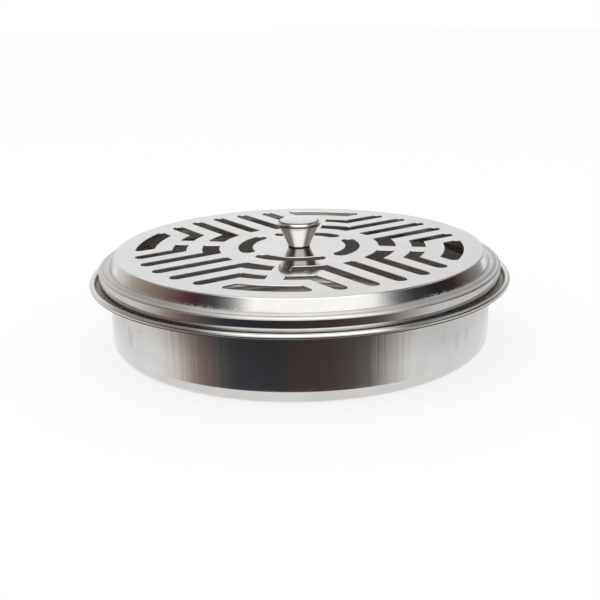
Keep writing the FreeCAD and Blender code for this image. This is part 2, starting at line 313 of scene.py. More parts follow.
def make_floor():
    mesh = bpy.data.meshes.new("floor")
    corners = [(x * FLOOR_REACH, y * FLOOR_REACH, 0) for x, y in ((-1, -1), (1, -1), (1, 1), (-1, 1))]
    mesh.from_pydata(corners, [], [(0, 1, 2, 3)])
    floor = placed("floor", mesh)
    material = bpy.data.materials.new("white_floor")
    tree = emptied(material)
    paint = put(tree, "ShaderNodeBsdfDiffuse", {"Color": rgba(FLOOR_TONE)})
    glow = put(tree, "ShaderNodeEmission", {"Color": WHITE, "Strength": 1})
    share = calc(tree, "MULTIPLY", seen_directly(tree), FLOOR_GLOW_SHARE)
    values = {0: share, 1: paint.outputs[0], 2: glow.outputs[0]}
    show(tree, put(tree, "ShaderNodeMixShader", values))
    mesh.materials.append(material)


make_world()
make_floor()
print("white world and floor")

# %% Lamp
LAMP_SIZE = 1.2
LAMP_POWER = 4.0
LAMP_PLACE = Vector((-0.3, -0.5, 1.4))


def make_lamp():
    data = bpy.data.lights.new("softbox_lamp", "AREA")
    data.size = LAMP_SIZE
    data.energy = LAMP_POWER
    lamp = placed("softbox_lamp", data)
    lamp.location = LAMP_PLACE
    lamp.rotation_euler = (-LAMP_PLACE).to_track_quat("-Z", "Y").to_euler()
    lamp.visible_glossy = False


make_lamp()
print("lamp", LAMP_POWER, "W")

# %% [markdown]
# The dome is painted in bands, one above the other.  Each band has a row of tones by direction
# in degrees: 0 is the camera's side and minus is its left.  A plain number is a grey, and one
# above 1 is brighter than white, as a lit softbox is.

# %% Tones of the dome
SOFTBOX_EDGE = 1.15
SOFTBOX_MIDDLE = 1.42
SOFTBOX_HEAD = 1.9
LEFT_FLAG_SIDE = [(-124, (0.7, 0.68, 0.65)), (-112, (0.44, 0.4, 0.35)), (-97, (0.3, 0.23, 0.2))]
RIGHT_FLAG_SIDE = [
    (103, (0.05, 0.03, 0.03)), (118, (0.2, 0.175, 0.165)), (134, 0.38), (150, 0.56),
    (166, 0.9), (180, 1.0),
]
# Lowest: the pale room beyond the table in front, the pale sweep behind
LOW_TONES = [
    (-180, 1.0), (-140, 0.9), *LEFT_FLAG_SIDE, (-82, (0.2, 0.13, 0.115)),
    (-73, (0.12, 0.05, 0.055)), (-60, (0.08, 0.06, 0.055)), (-48, 0.2), (-36, 0.85),
    (42, 0.85), (54, 0.4), (64, 0.1), (84, (0.024, 0.024, 0.03)), (94, (0.03, 0.022, 0.024)),
    *RIGHT_FLAG_SIDE,
]
# Middle: the softbox's lower edge with a dark flag at each side of it
MIDDLE_TONES = [
    (-180, 0.92), (-172, 0.84), (-160, 0.84), (-140, 0.8), *LEFT_FLAG_SIDE,
    (-82, (0.22, 0.145, 0.128)), (-73, (0.13, 0.05, 0.056)), (-65, (0.06, 0.036, 0.045)),
    (-52, (0.08, 0.08, 0.09)), (-42, 0.25), (-34, 0.7), (-29, SOFTBOX_EDGE),
    (43, SOFTBOX_EDGE), (52, 0.6), (60, 0.2), (70, (0.06, 0.06, 0.066)),
    (84, (0.024, 0.024, 0.03)), (94, (0.024, 0.02, 0.022)), *RIGHT_FLAG_SIDE,
]
# High: the softbox's middle, the flags' upper halves and the dim corners behind the tray
HIGH_TONES = [
    (-180, 0.92), (-170, 0.8), (-160, 0.62), (-146, 0.4), (-136, (0.25, 0.23, 0.225)),
    (-122, (0.34, 0.31, 0.3)), (-108, (0.46, 0.43, 0.42)), (-92, (0.44, 0.39, 0.37)),
    (-76, (0.24, 0.17, 0.16)), (-64, (0.09, 0.06, 0.07)), (-52, (0.1, 0.1, 0.11)),
    (-42, 0.4), (-34, 1.0), (-29, SOFTBOX_MIDDLE), (45, SOFTBOX_MIDDLE), (54, 0.7),
    (62, 0.25), (72, 0.4), (84, 0.58), (104, 0.62), (122, 0.42), (138, 0.32), (150, 0.55),
    (162, 0.75), (172, 0.9), (180, 0.95),
]
# Upper: the softbox's head, and the dark walls above the flags
UPPER_TONES = [
    (-180, 0.95), (-158, 0.8), (-142, 0.34), (-118, 0.22), (-100, (0.24, 0.21, 0.205)),
    (-82, (0.4, 0.37, 0.36)), (-68, (0.9, 0.85, 0.84)), (-52, SOFTBOX_HEAD),
    (56, SOFTBOX_HEAD), (70, 0.6), (82, 0.18), (95, 0.14), (112, 0.15), (130, 0.14),
    (144, 0.4), (158, 0.8), (170, 0.9), (180, 0.95),
]
# Top: the end of the softbox and the ceiling, by shares of the half turn from the front
# horizon over the top to the back horizon
TOP_TONES = [(0.43, 2.2), (0.49, 1.1)]
# Sines of the heights at which one band gives way to the next
MIDDLE_STARTS = (0.35, 0.41)
HIGH_STARTS = (0.44, 0.5)
UPPER_STARTS = (0.7, 0.76)
TOP_STARTS = (0.87, 0.92)
print("tones", len(LOW_TONES + MIDDLE_TONES + HIGH_TONES + UPPER_TONES + TOP_TONES))

# %% Dome
DOME_RADIUS = 2.5
DOME_BELOW_SHARE = 0.05
DOME_SEGMENTS = (64, 32)


def glossy_only(made, tree, colour):
    """A stage piece that glows in its colour, seen by mirror reflections alone."""
    show(tree, put(tree, "ShaderNodeEmission", {"Color": colour, "Strength": 1}))
    made.visible_camera = False
    made.visible_diffuse = False
    made.visible_transmission = False
    made.visible_volume_scatter = False
    made.visible_shadow = False


def by_degrees(stops, low=-180, high=180):
    """Stops given in degrees, as shares of the range."""
    return [((degrees - low) / (high - low), tone) for degrees, tone in stops]


def dome_colour(tree):
    place = put(tree, "ShaderNodeTexCoord").outputs["Object"]
    apart = split(tree, aim(tree, "NORMALIZE", place))
    rise, front = apart["Z"], calc(tree, "MULTIPLY", apart["Y"], -1)
    turn = calc(tree, "DIVIDE", calc(tree, "ARCTAN2", apart["X"], front), FULL_TURN)
    around = calc(tree, "ADD", turn, 0.5)
    over = calc(tree, "DIVIDE", calc(tree, "ARCTAN2", rise, front), math.pi)
    colour = ramp(tree, around, by_degrees(LOW_TONES))
    bands = [
        (MIDDLE_STARTS, ramp(tree, around, by_degrees(MIDDLE_TONES))),
        (HIGH_STARTS, ramp(tree, around, by_degrees(HIGH_TONES))),
        (UPPER_STARTS, ramp(tree, around, by_degrees(UPPER_TONES))),
        (TOP_STARTS, ramp(tree, over, TOP_TONES)),
    ]
    for (start, full), tones in bands:
        above = ramp(tree, rise, [(start, 0), (full, 1)])
        colour = blend(tree, above, colour, tones)
    return colour


def make_dome():
    columns, rows = DOME_SEGMENTS
    shell = bmesh.new()
    bmesh.ops.create_uvsphere(shell, u_segments=columns, v_segments=rows, radius=DOME_RADIUS)
    lower = [v for v in shell.verts if v.co.z < -DOME_BELOW_SHARE * DOME_RADIUS]
    bmesh.ops.delete(shell, geom=lower, context="VERTS")
    mesh = kept(shell, "studio_dome")
    dome = placed("studio_dome", mesh)
    dome.rotation_euler = (0, 0, TRAY_TURN)
    material = bpy.data.materials.new("studio_dome")
    mesh.materials.append(material)
    tree = emptied(material)
    glossy_only(dome, tree, dome_colour(tree))


make_dome()
print("dome of radius", DOME_RADIUS)

# %% [markdown]
# From the lens's side the wall of the dish reflects the table just in front of it, nineteen
# degrees downwards.  In the photograph that part of the table is dark.  The card that stands
# for it is cut to the reflection: each of its strips starts near the wall and runs along the
# ray that the wall throws there.  So a tone set at one place of the card shows as an upright
# band at one place of the wall, and the UV map keeps that place from left to right.  The card
# starts a finger's width from the dish, so the rounded foot of the wall stays light.  A short
# card behind the tray does the same for whoever looks at it from the back.

# %% Tones of the table
# Tones by the place on the wall that shows them, in degrees from the middle
FRONT_TONES = [
    (-88, 0.97), (-42, 0.97), (-35, (0.8, 0.75, 0.71)), (-30, (0.42, 0.34, 0.3)),
    (-26, (0.23, 0.175, 0.16)), (-21, (0.1, 0.095, 0.1)), (-16, (0.05, 0.056, 0.066)),
    (-7, (0.045, 0.045, 0.05)), (0, (0.07, 0.05, 0.046)), (9, (0.085, 0.063, 0.058)),
    (14, (0.11, 0.1, 0.094)), (18, (0.17, 0.155, 0.148)), (23, (0.5, 0.48, 0.465)),
    (30, 0.9), (88, 0.97),
]
BACK_TONES = [
    (-26, 0.97), (-18, 0.7), (-11, (0.3, 0.28, 0.27)), (-5, 0.12), (4, (0.1, 0.085, 0.08)),
    (9, (0.22, 0.2, 0.19)), (17, 0.75), (26, 0.97),
]
# The table grows a little darker with distance, by share of the card's length
CARD_FADES = [(0.1, 1), (0.32, 0.94), (0.46, 0.84), (0.62, 0.8)]
print("tones of the table", len(FRONT_TONES + BACK_TONES))

# %% Table cards
CARD_STRIPS = 88
CARD_ROWS = 24
CARD_NEAR = 11 * MM
# How far each card reaches along the thrown rays, and how high it lies
FRONT_CARD = (420 * MM, 0.3 * MM)
BACK_CARD = (75 * MM, 0.6 * MM)
# Between these lengths the dark part grows wider, by this share at most
CARD_WIDENS = (35 * MM, 90 * MM)
CARD_WIDER_SHARE = 0.14


def thrown_spot(degrees, length):
    """A spot on the table that the wall shows at a place, this far along the thrown ray."""
    start, full = CARD_WIDENS
    wider = 1 + CARD_WIDER_SHARE * min(1, max(0, (length - start) / (full - start)))
    angle = math.radians(degrees) * wider
    outward = Vector((math.sin(angle), -math.cos(angle), 0))
    place = outward * dish_radius
    sight = (place - Vector((0, -CAMERA_DISTANCE, 0))).normalized()
    return place + sight.reflect(outward) * length


def card_mesh(name, half_angle, reach, lift):
    """Strips along the thrown rays, with their number and length kept in a UV map."""
    work = bmesh.new()
    layer = work.loops.layers.uv.new("strips")
    lengths = [CARD_NEAR * (reach / CARD_NEAR) ** (k / CARD_ROWS) for k in range(CARD_ROWS + 1)]
    lines = []
    for strip in range(CARD_STRIPS + 1):
        degrees = half_angle * (2 * strip / CARD_STRIPS - 1)
        spots = [thrown_spot(degrees, length) for length in lengths]
        lines.append([work.verts.new((spot.x, spot.y, lift)) for spot in spots])
    for strip in range(CARD_STRIPS):
        left, right = lines[strip], lines[strip + 1]
        for row in range(CARD_ROWS):
            face = work.faces.new((left[row], left[row + 1], right[row + 1], right[row]))
            for loop, (side, end) in zip(face.loops, ((0, 0), (0, 1), (1, 1), (1, 0))):
                loop[layer].uv = ((strip + side) / CARD_STRIPS, (row + end) / CARD_ROWS)
    return kept(work, name)


def make_card(name, turn, tones, size):
    half_angle = tones[-1][0]
    mesh = card_mesh(name, half_angle, *size)
    card = placed(name, mesh)
    card.rotation_euler = (0, 0, turn)
    material = bpy.data.materials.new(name)
    mesh.materials.append(material)
    tree = emptied(material)
    strips = split(tree, put(tree, "ShaderNodeUVMap", uv_map="strips").outputs["UV"])
    tone = ramp(tree, strips["X"], by_degrees(tones, -half_angle, half_angle))
    fade = ramp(tree, strips["Y"], CARD_FADES)
    glossy_only(card, tree, aim(tree, "MULTIPLY", tone, fade))


make_card("table_edge_front", TRAY_TURN, FRONT_TONES, FRONT_CARD)
make_card("table_edge_back", TRAY_TURN + math.pi, BACK_TONES, BACK_CARD)
print("table cards in", CARD_STRIPS, "strips")

# %% [markdown]
# ## Finishes
# All the steel here is one alloy, a slightly warm grey metal, in different states.  Rolled
# sheet keeps a faint grain, a drawn wall gets fine upright streaks where the die dragged the
# metal, and handling leaves smudges that only blur the reflection.  These are patterns of
# roughness and bump far more than of colour.  Use leaves colour in a few places: dried drops on
# the dish's wall and a thin brown film inside it, whose darker tone is partly painted shade.
# Painted shade darkens the seat under the lid, the underside of the curl and the creases.
#
# A streak that runs up a round wall needs a coordinate that doesn't change with height, and a
# polishing ring on the lid needs one that doesn't change round the middle.  Both come from
# Object coordinates: `round_place` divides the place by its distance from the middle, which
# gives a point on a unit circle with no seam, and keeps radius and height beside it.

# %% Coordinates for round pieces
# The part of its range that a Noise Texture mostly keeps to
NOISE_MIDDLE = (0.3, 0.7)


def object_place(tree):
    return put(tree, "ShaderNodeTexCoord").outputs["Object"]


def round_place(tree):
    """Object coordinates, and they as a unit direction round the axis, a radius and a height."""
    place = object_place(tree)
    flat = aim(tree, "MULTIPLY", place, (1, 1, 0))
    return place, aim(tree, "NORMALIZE", flat), measure(tree, "LENGTH", flat), split(tree, place)["Z"]


def noise(tree, vector, scale, detail=2.0, roughness=0.5):
    """The grey output of a Noise Texture."""
    values = {"Vector": vector, "Scale": scale, "Detail": detail, "Roughness": roughness}
    return put(tree, "ShaderNodeTexNoise", values).outputs["Fac"]


def spread(tree, value, low, high):
    """Map a noise value from its middle range onto low to high."""
    return rescale(tree, value, *NOISE_MIDDLE, low, high)


def drawn_out(tree, direction, distance, around, along):
    """A point for noise, with one fineness round the piece and one along a distance."""
    values = {0: direction, "Scale": around}
    circle = put(tree, "ShaderNodeVectorMath", values, operation="SCALE").outputs["Vector"]
    return aim(tree, "ADD", circle, combine(tree, Z=calc(tree, "MULTIPLY", distance, along)))


print("coordinates ready")

# %% [markdown]
# `metal` is the base of every finish: a Principled shader that is fully metallic, with its
# colour and roughness varied by slow and fine noise.  `rougher` and `tinted` change it where a
# pattern says so.  Each finish then only says how its grain runs and how strong it is.

# %% Metal
STEEL = (0.69, 0.675, 0.66)
STEEL_DARK = (0.62, 0.605, 0.59)
ZINC = (0.6, 0.62, 0.64)
ZINC_DARK = (0.46, 0.47, 0.46)
# Scale, detail and roughness of the noise for slow stains, finger smudges and fine scuffs
STAIN_NOISE = (55, 4, 0.6)
SMUDGE_NOISE = (140, 6, 0.7)
SCUFF_NOISE = (900, 3, 0.6)
STAIN_ENDS = (0.3, 0.62)
SCUFF_BLUR = 0.03


def metal(name, light, dark, polish, dull):
    """A metal between two colours and two roughnesses: returns material, tree, shader."""
    material = bpy.data.materials.new(name)
    tree = emptied(material)
    shader = put(tree, "ShaderNodeBsdfPrincipled", {"Metallic": 1.0})
    place = object_place(tree)
    tone = ramp(tree, noise(tree, place, *STAIN_NOISE), list(zip(STAIN_ENDS, (dark, light))))
    tree.links.new(tone, shader.inputs["Base Color"])
    smudge = spread(tree, noise(tree, place, *SMUDGE_NOISE), polish, dull)
    scuff = spread(tree, noise(tree, place, *SCUFF_NOISE), 0, SCUFF_BLUR)
    tree.links.new(calc(tree, "ADD", smudge, scuff), shader.inputs["Roughness"])
    show(tree, shader)
    return material, tree, shader


def add_bump(tree, shader, height, distance):
    """Roughen the shader's surface by a height pattern."""
    bump = put(tree, "ShaderNodeBump", {"Height": height, "Distance": distance, "Strength": 1})
    tree.links.new(bump.outputs["Normal"], shader.inputs["Normal"])


def rougher(tree, shader, share, amount):
    """Add to the shader's roughness where the share is above zero."""
    before = shader.inputs["Roughness"].links[0].from_socket
    more = calc(tree, "MULTIPLY_ADD", share, amount, before)
    tree.links.new(more, shader.inputs["Roughness"])


def tinted(tree, shader, share, colour):
    """Blend the shader's colour towards another where the share is above zero."""
    before = shader.inputs["Base Color"].links[0].from_socket
    tree.links.new(blend(tree, share, before, rgba(colour)), shader.inputs["Base Color"])


print("metals", STEEL, ZINC)

# %% [markdown]
# The next helpers find a place on a piece: between two radii or heights, on an upright face, or
# on the inside of the dish.  Each gives one there and zero elsewhere.

# %% Where a pattern lies
# Limits of the upward part of a surface's normal
UPRIGHT = 0.45
UPRIGHT_SOFT = 0.1
TURNED = 0.3


def between(tree, value, low, high, soft):
    """One where the value lies between two limits, with soft ends."""
    rising = rescale(tree, value, low - soft, low + soft)
    return calc(tree, "MULTIPLY", rising, rescale(tree, value, high + soft, high - soft))


def surface_normal(tree):
    return put(tree, "ShaderNodeNewGeometry").outputs["Normal"]


def facing_up(tree):
    """The height of the surface's normal: one on a flat top, minus one on an underside."""
    return split(tree, surface_normal(tree))["Z"]


def upright_share(tree):
    """One on an upright face, zero on a flat one."""
    return between(tree, facing_up(tree), -UPRIGHT, UPRIGHT, UPRIGHT_SOFT)


def inside_share(tree, direction):
    """One where the surface faces up or towards the axis, as the inside of a dish does."""
    out = measure(tree, "DOT_PRODUCT", surface_normal(tree), direction)
    up = calc(tree, "GREATER_THAN", facing_up(tree), TURNED)
    return calc(tree, "MAXIMUM", up, calc(tree, "LESS_THAN", out, -TURNED))


print("places ready")

# %% [markdown]
# A drop that dried on the wall leaves a pale patch with a darker edge.  It is the distance from
# the drop's middle, made uneven by noise and read through a ramp.

# %% Dried drops
DROP_WOBBLE = (260, 4, 0.65)
DROP_PATCHES = (330, 2, 0.5)
DROP_UNEVEN = (-0.42, 0.38)
DROP_FAINTEST_SHARE = 0.15
DROP_TONES = [(0, 0.6), (0.6, 0.5), (0.8, 0.85), (0.97, 0)]
# Degrees from the camera's side, height, width, length and strength of each
DRIED_DROPS = [
    (-56, 14.5 * MM, 4.0 * MM, 7.0 * MM, 0.8),
    (-51, 18.5 * MM, 3.5 * MM, 2.6 * MM, 0.4),
    (42, 16.5 * MM, 3.6 * MM, 4.6 * MM, 0.45),
    (48, 13.5 * MM, 2.2 * MM, 6.4 * MM, 0.55),
    (53, 14.5 * MM, 2.6 * MM, 5.2 * MM, 0.45),
    (-24, 5.5 * MM, 3.0 * MM, 1.4 * MM, 0.4),
    (131, 12 * MM, 2.6 * MM, 8.0 * MM, 0.25),
    (-150, 16 * MM, 3.4 * MM, 4.0 * MM, 0.25),
]


def dried_drop(tree, place, degrees, height, width, length, strength):
    """The stain of a drop on the dish's wall: pale within, with a darker edge."""
    angle = math.radians(degrees) + TRAY_TURN
    centre = (dish_radius * math.sin(angle), -dish_radius * math.cos(angle), height)
    away = aim(tree, "SUBTRACT", place, centre)
    far = measure(tree, "LENGTH", aim(tree, "DIVIDE", away, (width / 2, width / 2, length / 2)))
    wobble = spread(tree, noise(tree, place, *DROP_WOBBLE), *DROP_UNEVEN)
    patches = noise(tree, place, *DROP_PATCHES)
    patchy = spread(tree, patches, DROP_FAINTEST_SHARE * strength, strength)
    return calc(tree, "MULTIPLY", ramp(tree, calc(tree, "ADD", far, wobble), DROP_TONES), patchy)


print("dried drops", len(DRIED_DROPS))

# %% Drawn steel of the dish
STAIN = (0.3, 0.285, 0.27)
# Darker brownish tone inside the dish: partly a smoke deposit, partly painted shade
SMOKE_AND_SHADE = (0.3, 0.28, 0.26)
# Darker grey painted as shade in the seat under the lid's skirt
SEAT_SHADE_GREY = (0.42, 0.4, 0.385)
# Near black, painted as shade under the dish's curl and in the creases of the lid and the knob
SHADE_DARK = (0.05, 0.045, 0.04)
# Fineness of the streaks round the wall and along its height
FINE_STREAKS = (260, 12)
BROAD_STREAKS = (34, 8)
FINE_SHARE = 0.25
STREAK_DEPTH = 0.08 * MM
SMOOTH_INSIDE_SHARE = 0.95
SEAT_START_SHARE = 0.12
# The upward part of the normal where the painted shade under the curl starts and is full
UNDER_CURL = (-0.16, -0.44)


def drawn_steel(name):
    """Sheet drawn into a cup: upright streaks outside; inside, a smoke deposit darkened partly as
    painted shade; painted shade on the seat and under the curl.
    """
    material, tree, shader = metal(name, STEEL, STEEL_DARK, 0.05, 0.14)
    place, direction, radius, height = round_place(tree)
    inside = inside_share(tree, direction)
    fine = noise(tree, drawn_out(tree, direction, height, *FINE_STREAKS), 1, 3, 0.6)
    broad = noise(tree, drawn_out(tree, direction, height, *BROAD_STREAKS), 1, 2, 0.5)
    streaks = calc(tree, "ADD", calc(tree, "MULTIPLY", fine, FINE_SHARE), broad)
    outside = calc(tree, "SUBTRACT", 1, calc(tree, "MULTIPLY", inside, SMOOTH_INSIDE_SHARE))
    add_bump(tree, shader, calc(tree, "MULTIPLY", streaks, outside), STREAK_DEPTH)
    below_seat = between(tree, radius, 0, dish_radius, 0.3 * MM)
    # Inside below the seat: rougher from a smoke deposit, and painted darker as shade under the lid
    smoke_and_shade = calc(tree, "MULTIPLY", inside, below_seat)
    rougher(tree, shader, smoke_and_shade, 0.1)
    tinted(tree, shader, calc(tree, "MULTIPLY", smoke_and_shade, 0.4), SMOKE_AND_SHADE)
    for drop in DRIED_DROPS:
        stain = dried_drop(tree, place, *drop)
        tinted(tree, shader, calc(tree, "MULTIPLY", stain, 0.8), STAIN)
        rougher(tree, shader, stain, 0.1)
    # Painted shade: the seat under the lid's skirt is painted darker grey and made rougher
    seat_start = dish_radius + FLANGE_WIDTH * SEAT_START_SHARE
    across = between(tree, radius, seat_start, lip_radius, 0.12 * MM)
    along = between(tree, height, seat_height - SHEET, rim_height - CURL_RADIUS, 0.3 * MM)
    seat = calc(tree, "MULTIPLY", calc(tree, "MULTIPLY", across, along), inside)
    tinted(tree, shader, seat, SEAT_SHADE_GREY)
    rougher(tree, shader, seat, 0.45)
    # Painted shade: the curl's underside is darkened, dulled and made less metallic
    outermost = calc(tree, "GREATER_THAN", radius, lip_radius)
    under_curl_shade = calc(tree, "MULTIPLY", rescale(tree, facing_up(tree), *UNDER_CURL), outermost)
    tinted(tree, shader, under_curl_shade, SHADE_DARK)
    rougher(tree, shader, under_curl_shade, 0.5)
    shade_and_smoke = calc(tree, "MAXIMUM", under_curl_shade, calc(tree, "MULTIPLY", smoke_and_shade, 0.3))
    tree.links.new(calc(tree, "SUBTRACT", 1, shade_and_smoke), shader.inputs["Metallic"])
    shine = calc(tree, "MULTIPLY", calc(tree, "SUBTRACT", 1, under_curl_shade), 0.5)
    tree.links.new(shine, shader.inputs["Specular IOR Level"])
    return material


finish = {"dish": drawn_steel("dish_drawn_steel")}
print("finish of the dish:", finish["dish"].name)

# %% [markdown]
# The lid and the knob are bright rolled sheet, close to a mirror.  Faint rings from polishing
# run round the top, and hairlines run up the sides.  On the lid the press tool left the ring
# outside the bevel duller, with small scratched flecks at the bevel's foot.

# %% Polished steel of the lid and the knob
SCRATCHED = (0.93, 0.92, 0.91)
# Fineness round the piece, and across the radius or along the height
POLISH_RINGS = (1.5, 2600)
HAIRLINES = (240, 20)
RING_SHARE = 0.02
HAIRLINE_SHARE = 0.16
FLECK_SHARE = 0.3
POLISH_DEPTH = 0.12 * MM
SWELL_NOISE = (45, 1, 0.4)
FLECK_NOISE = (2600, 2, 0.6)
FLECK_PATCHES = (60, 2, 0.5)
FLECK_ENDS = (0.56, 0.64)
# The flecks' ring starts inside the bevel's foot and ends outside it
FLECKS_FROM = 0.45 * MM
FLECKS_TO = 0.35 * MM
RING_SOFT = 0.2 * MM
print("flecks lie from", bevel_foot_radius - FLECKS_FROM, "to", bevel_foot_radius + FLECKS_TO)

# %% Flecks and polish


def flecks(tree, place, radius, foot):
    """Small bright scratches in patches along the foot of the bevel."""
    ring = between(tree, radius, foot - FLECKS_FROM, foot + FLECKS_TO, RING_SOFT)
    patches = spread(tree, noise(tree, place, *FLECK_PATCHES), 0, 1)
    specks = rescale(tree, noise(tree, place, *FLECK_NOISE), *FLECK_ENDS)
    return calc(tree, "MULTIPLY", specks, calc(tree, "MULTIPLY", patches, ring))


def polished_steel(name, creases=(), heights=(), dull=None):
    """Bright rolled sheet: a mirror with faint rings, and hairlines on its sides.

    Painted shade darkens the creases, given by radius, and lines at the heights given, each with
    half its width and its strength.  The last argument is the ring that the press tool left
    duller, with flecks at its inner edge.
    """
    material, tree, shader = metal(name, STEEL, STEEL_DARK, 0.03, 0.09)
    place, direction, radius, height = round_place(tree)
    rings = noise(tree, drawn_out(tree, direction, radius, *POLISH_RINGS), 1, 2, 0.6)
    lines = noise(tree, drawn_out(tree, direction, height, *HAIRLINES), 1, 3, 0.6)
    lines = calc(tree, "MULTIPLY", lines, upright_share(tree))
    grain = calc(tree, "MULTIPLY_ADD", rings, RING_SHARE, noise(tree, place, *SWELL_NOISE))
    grain = calc(tree, "MULTIPLY_ADD", lines, HAIRLINE_SHARE, grain)
    if dull:
        ring = between(tree, radius, *dull, RING_SOFT)
        ring = calc(tree, "MULTIPLY", ring, calc(tree, "GREATER_THAN", facing_up(tree), 0.2))
        rougher(tree, shader, ring, 0.3)
        specks = flecks(tree, place, radius, dull[0])
        tinted(tree, shader, specks, SCRATCHED)
        rougher(tree, shader, specks, 0.5)
        grain = calc(tree, "MULTIPLY_ADD", specks, FLECK_SHARE, grain)
    add_bump(tree, shader, grain, POLISH_DEPTH)
    for places, along in ((creases, radius), (heights, height)):
        for middle, half, strength in places:
            # Painted shade: the crease is darkened and made a little rougher
            crease_shade = between(tree, along, middle - half, middle + half, half / 2)
            tinted(tree, shader, calc(tree, "MULTIPLY", crease_shade, strength), SHADE_DARK)
            rougher(tree, shader, crease_shade, 0.3 * strength)
    return material


print("rings", POLISH_RINGS, "hairlines", HAIRLINES)

# %% Creases of the lid and the knob
# Each crease: its radius or height, half its width and the strength of its painted shade
# Painted shade in the lid's creases: round the knob's foot, at the bevel's foot and in the groove
LID_CREASES = [
    (KNOB_BASE, 0.2 * MM, 0.9),
    (bevel_foot_radius, 0.09 * MM, 0.45),
    (groove_radius, 0.09 * MM, 0.4),
]
# Painted shade lines on the knob at its foot and at the hem's foot and top; the line at the crown's
# edge is a painted dark reflection
KNOB_CREASES = [
    (knob_floor + 0.1 * MM, 0.36 * MM, 0.92),
    (hem_foot, 0.1 * MM, 0.5),
    (hem_top - 0.02 * MM, 0.34 * MM, 0.98),
    (knob_top - 0.6 * MM, 0.16 * MM, 0.85),
]
DULL_RING = (bevel_foot_radius, lid_radius)
finish["lid"] = polished_steel("lid_polished_steel", LID_CREASES, (), DULL_RING)
finish["knob"] = polished_steel("knob_polished_steel", (), KNOB_CREASES)
print("creases", len(LID_CREASES), "on the lid and", len(KNOB_CREASES), "on the knob")

# %% [markdown]
# The hidden pieces are plainer: mill-finished strip for the stand and its rivets, and bright
# zinc plate for the screw, its boss and its washer.

# %% Mill finish and zinc plate
STRIP_GRAIN = (60, 1800, 1800)
GRAIN_DEPTH = 0.01 * MM
MILL_METALLIC = 0.6
PORE_NOISE = (2600, 3, 0.7)
PORE_DEPTH = 0.02 * MM


def rolled_steel(name):
    """Plain mill finish: dull, with a straight grain along the strip."""
    material, tree, shader = metal(name, STEEL, STEEL_DARK, 0.26, 0.32)
    grain = noise(tree, aim(tree, "MULTIPLY", object_place(tree), STRIP_GRAIN), 1, 3, 0.6)
    add_bump(tree, shader, grain, GRAIN_DEPTH)
    shader.inputs["Metallic"].default_value = MILL_METALLIC
    return material


def zinc_plate(name):
    """Bright zinc: bluish, finely mottled."""
    material, tree, shader = metal(name, ZINC, ZINC_DARK, 0.22, 0.38)
    add_bump(tree, shader, noise(tree, object_place(tree), *PORE_NOISE), PORE_DEPTH)
    return material


finish["stand"] = rolled_steel("stand_rolled_steel")
finish["rivet"] = rolled_steel("rivet_mill_finish")
finish["zinc"] = zinc_plate("fastener_zinc_plate")
print("finishes", sorted(finish))

# %% [markdown]
# ## A bent sheet as a profile
# Pressed pieces are drawn as a path with sharp corners and a bend radius for each corner.  The
# path runs along one face of the sheet, and the metal lies on its left.  `bent_face` walks
# along one face and turns each corner into an arc.  Long straight runs get an extra point
# close to each bend.  Without it, smooth shading would spread the bend's curve over the whole
# flat, and a mirror finish would show a bulge that isn't there.

# %% Directions and arcs
BEND_STEP = math.radians(9)


def unit(start, end):
    length = math.dist(start, end)
    return (end[0] - start[0]) / length, (end[1] - start[1]) / length


def moved(point, direction, distance):
    return point[0] + direction[0] * distance, point[1] + direction[1] * distance


def left_of(direction):
    return -direction[1], direction[0]


def right_of(direction):
    return direction[1], -direction[0]


def turned(direction, angle):
    c, s = math.cos(angle), math.sin(angle)
    return direction[0] * c - direction[1] * s, direction[0] * s + direction[1] * c


def sweep_between(heading, onward):
    """The angle from one direction to the next, plus to the left."""
    cross = heading[0] * onward[1] - heading[1] * onward[0]
    return math.atan2(cross, heading[0] * onward[0] + heading[1] * onward[1])


def swept(centre, direction, radius, sweep, step=BEND_STEP):
    """Points of an arc about a centre, from its start to just before its end."""
    count = max(2, math.ceil(abs(sweep) / step))
    return [moved(centre, turned(direction, sweep * k / count), radius) for k in range(count)]


def corner_arc(start, heading, radius, sweep, step):
    """Points of an arc that leaves a point along a heading and turns by the sweep."""
    inward = left_of(heading) if sweep > 0 else right_of(heading)
    centre = moved(start, inward, radius)
    return swept(centre, (-inward[0], -inward[1]), radius, sweep, step)


print("a quarter turn has", len(swept((0, 0), (1, 0), 1, math.pi / 2)), "steps")

# %% Profiles
SUPPORT = 0.06 * MM
SHORTEST = 0.002 * MM


def straight(start, end):
    """The start of a run and a support point near each end of a long one."""
    if math.dist(start, end) < SHORTEST:
        return []
    if math.dist(start, end) < 4 * SUPPORT:
        return [start]
    along = unit(start, end)
    return [start, moved(start, along, SUPPORT), moved(end, along, -SUPPORT)]


def bent_face(path, bends, inset):
    """One face of a bent strip: the path itself, or the path moved left by the inset."""
    points = []
    heading = unit(path[0], path[1])
    here = moved(path[0], left_of(heading), inset)
    for corner, following, bend in zip(path[1:], path[2:], bends):
        onward = unit(corner, following)
        sweep = sweep_between(heading, onward)
        side = math.copysign(1, sweep)
        tangent = bend * math.tan(abs(sweep) / 2)
        enter = moved(moved(corner, heading, -tangent), left_of(heading), inset)
        centre = moved(enter, left_of(heading), side * bend - inset)
        outward = left_of(heading) if side < 0 else right_of(heading)
        points += straight(here, enter) + swept(centre, outward, bend - side * inset, sweep)
        here = moved(moved(corner, onward, tangent), left_of(onward), inset)
        heading = onward
    end = moved(path[-1], left_of(heading), inset)
    return points + straight(here, end) + [end]


def deburred(end, before, thickness):
    """Points of the half round edge of a sheet, from one face to the other."""
    heading = unit(before, end)
    centre = moved(end, left_of(heading), thickness / 2)
    return swept(centre, right_of(heading), thickness / 2, math.pi)[1:]


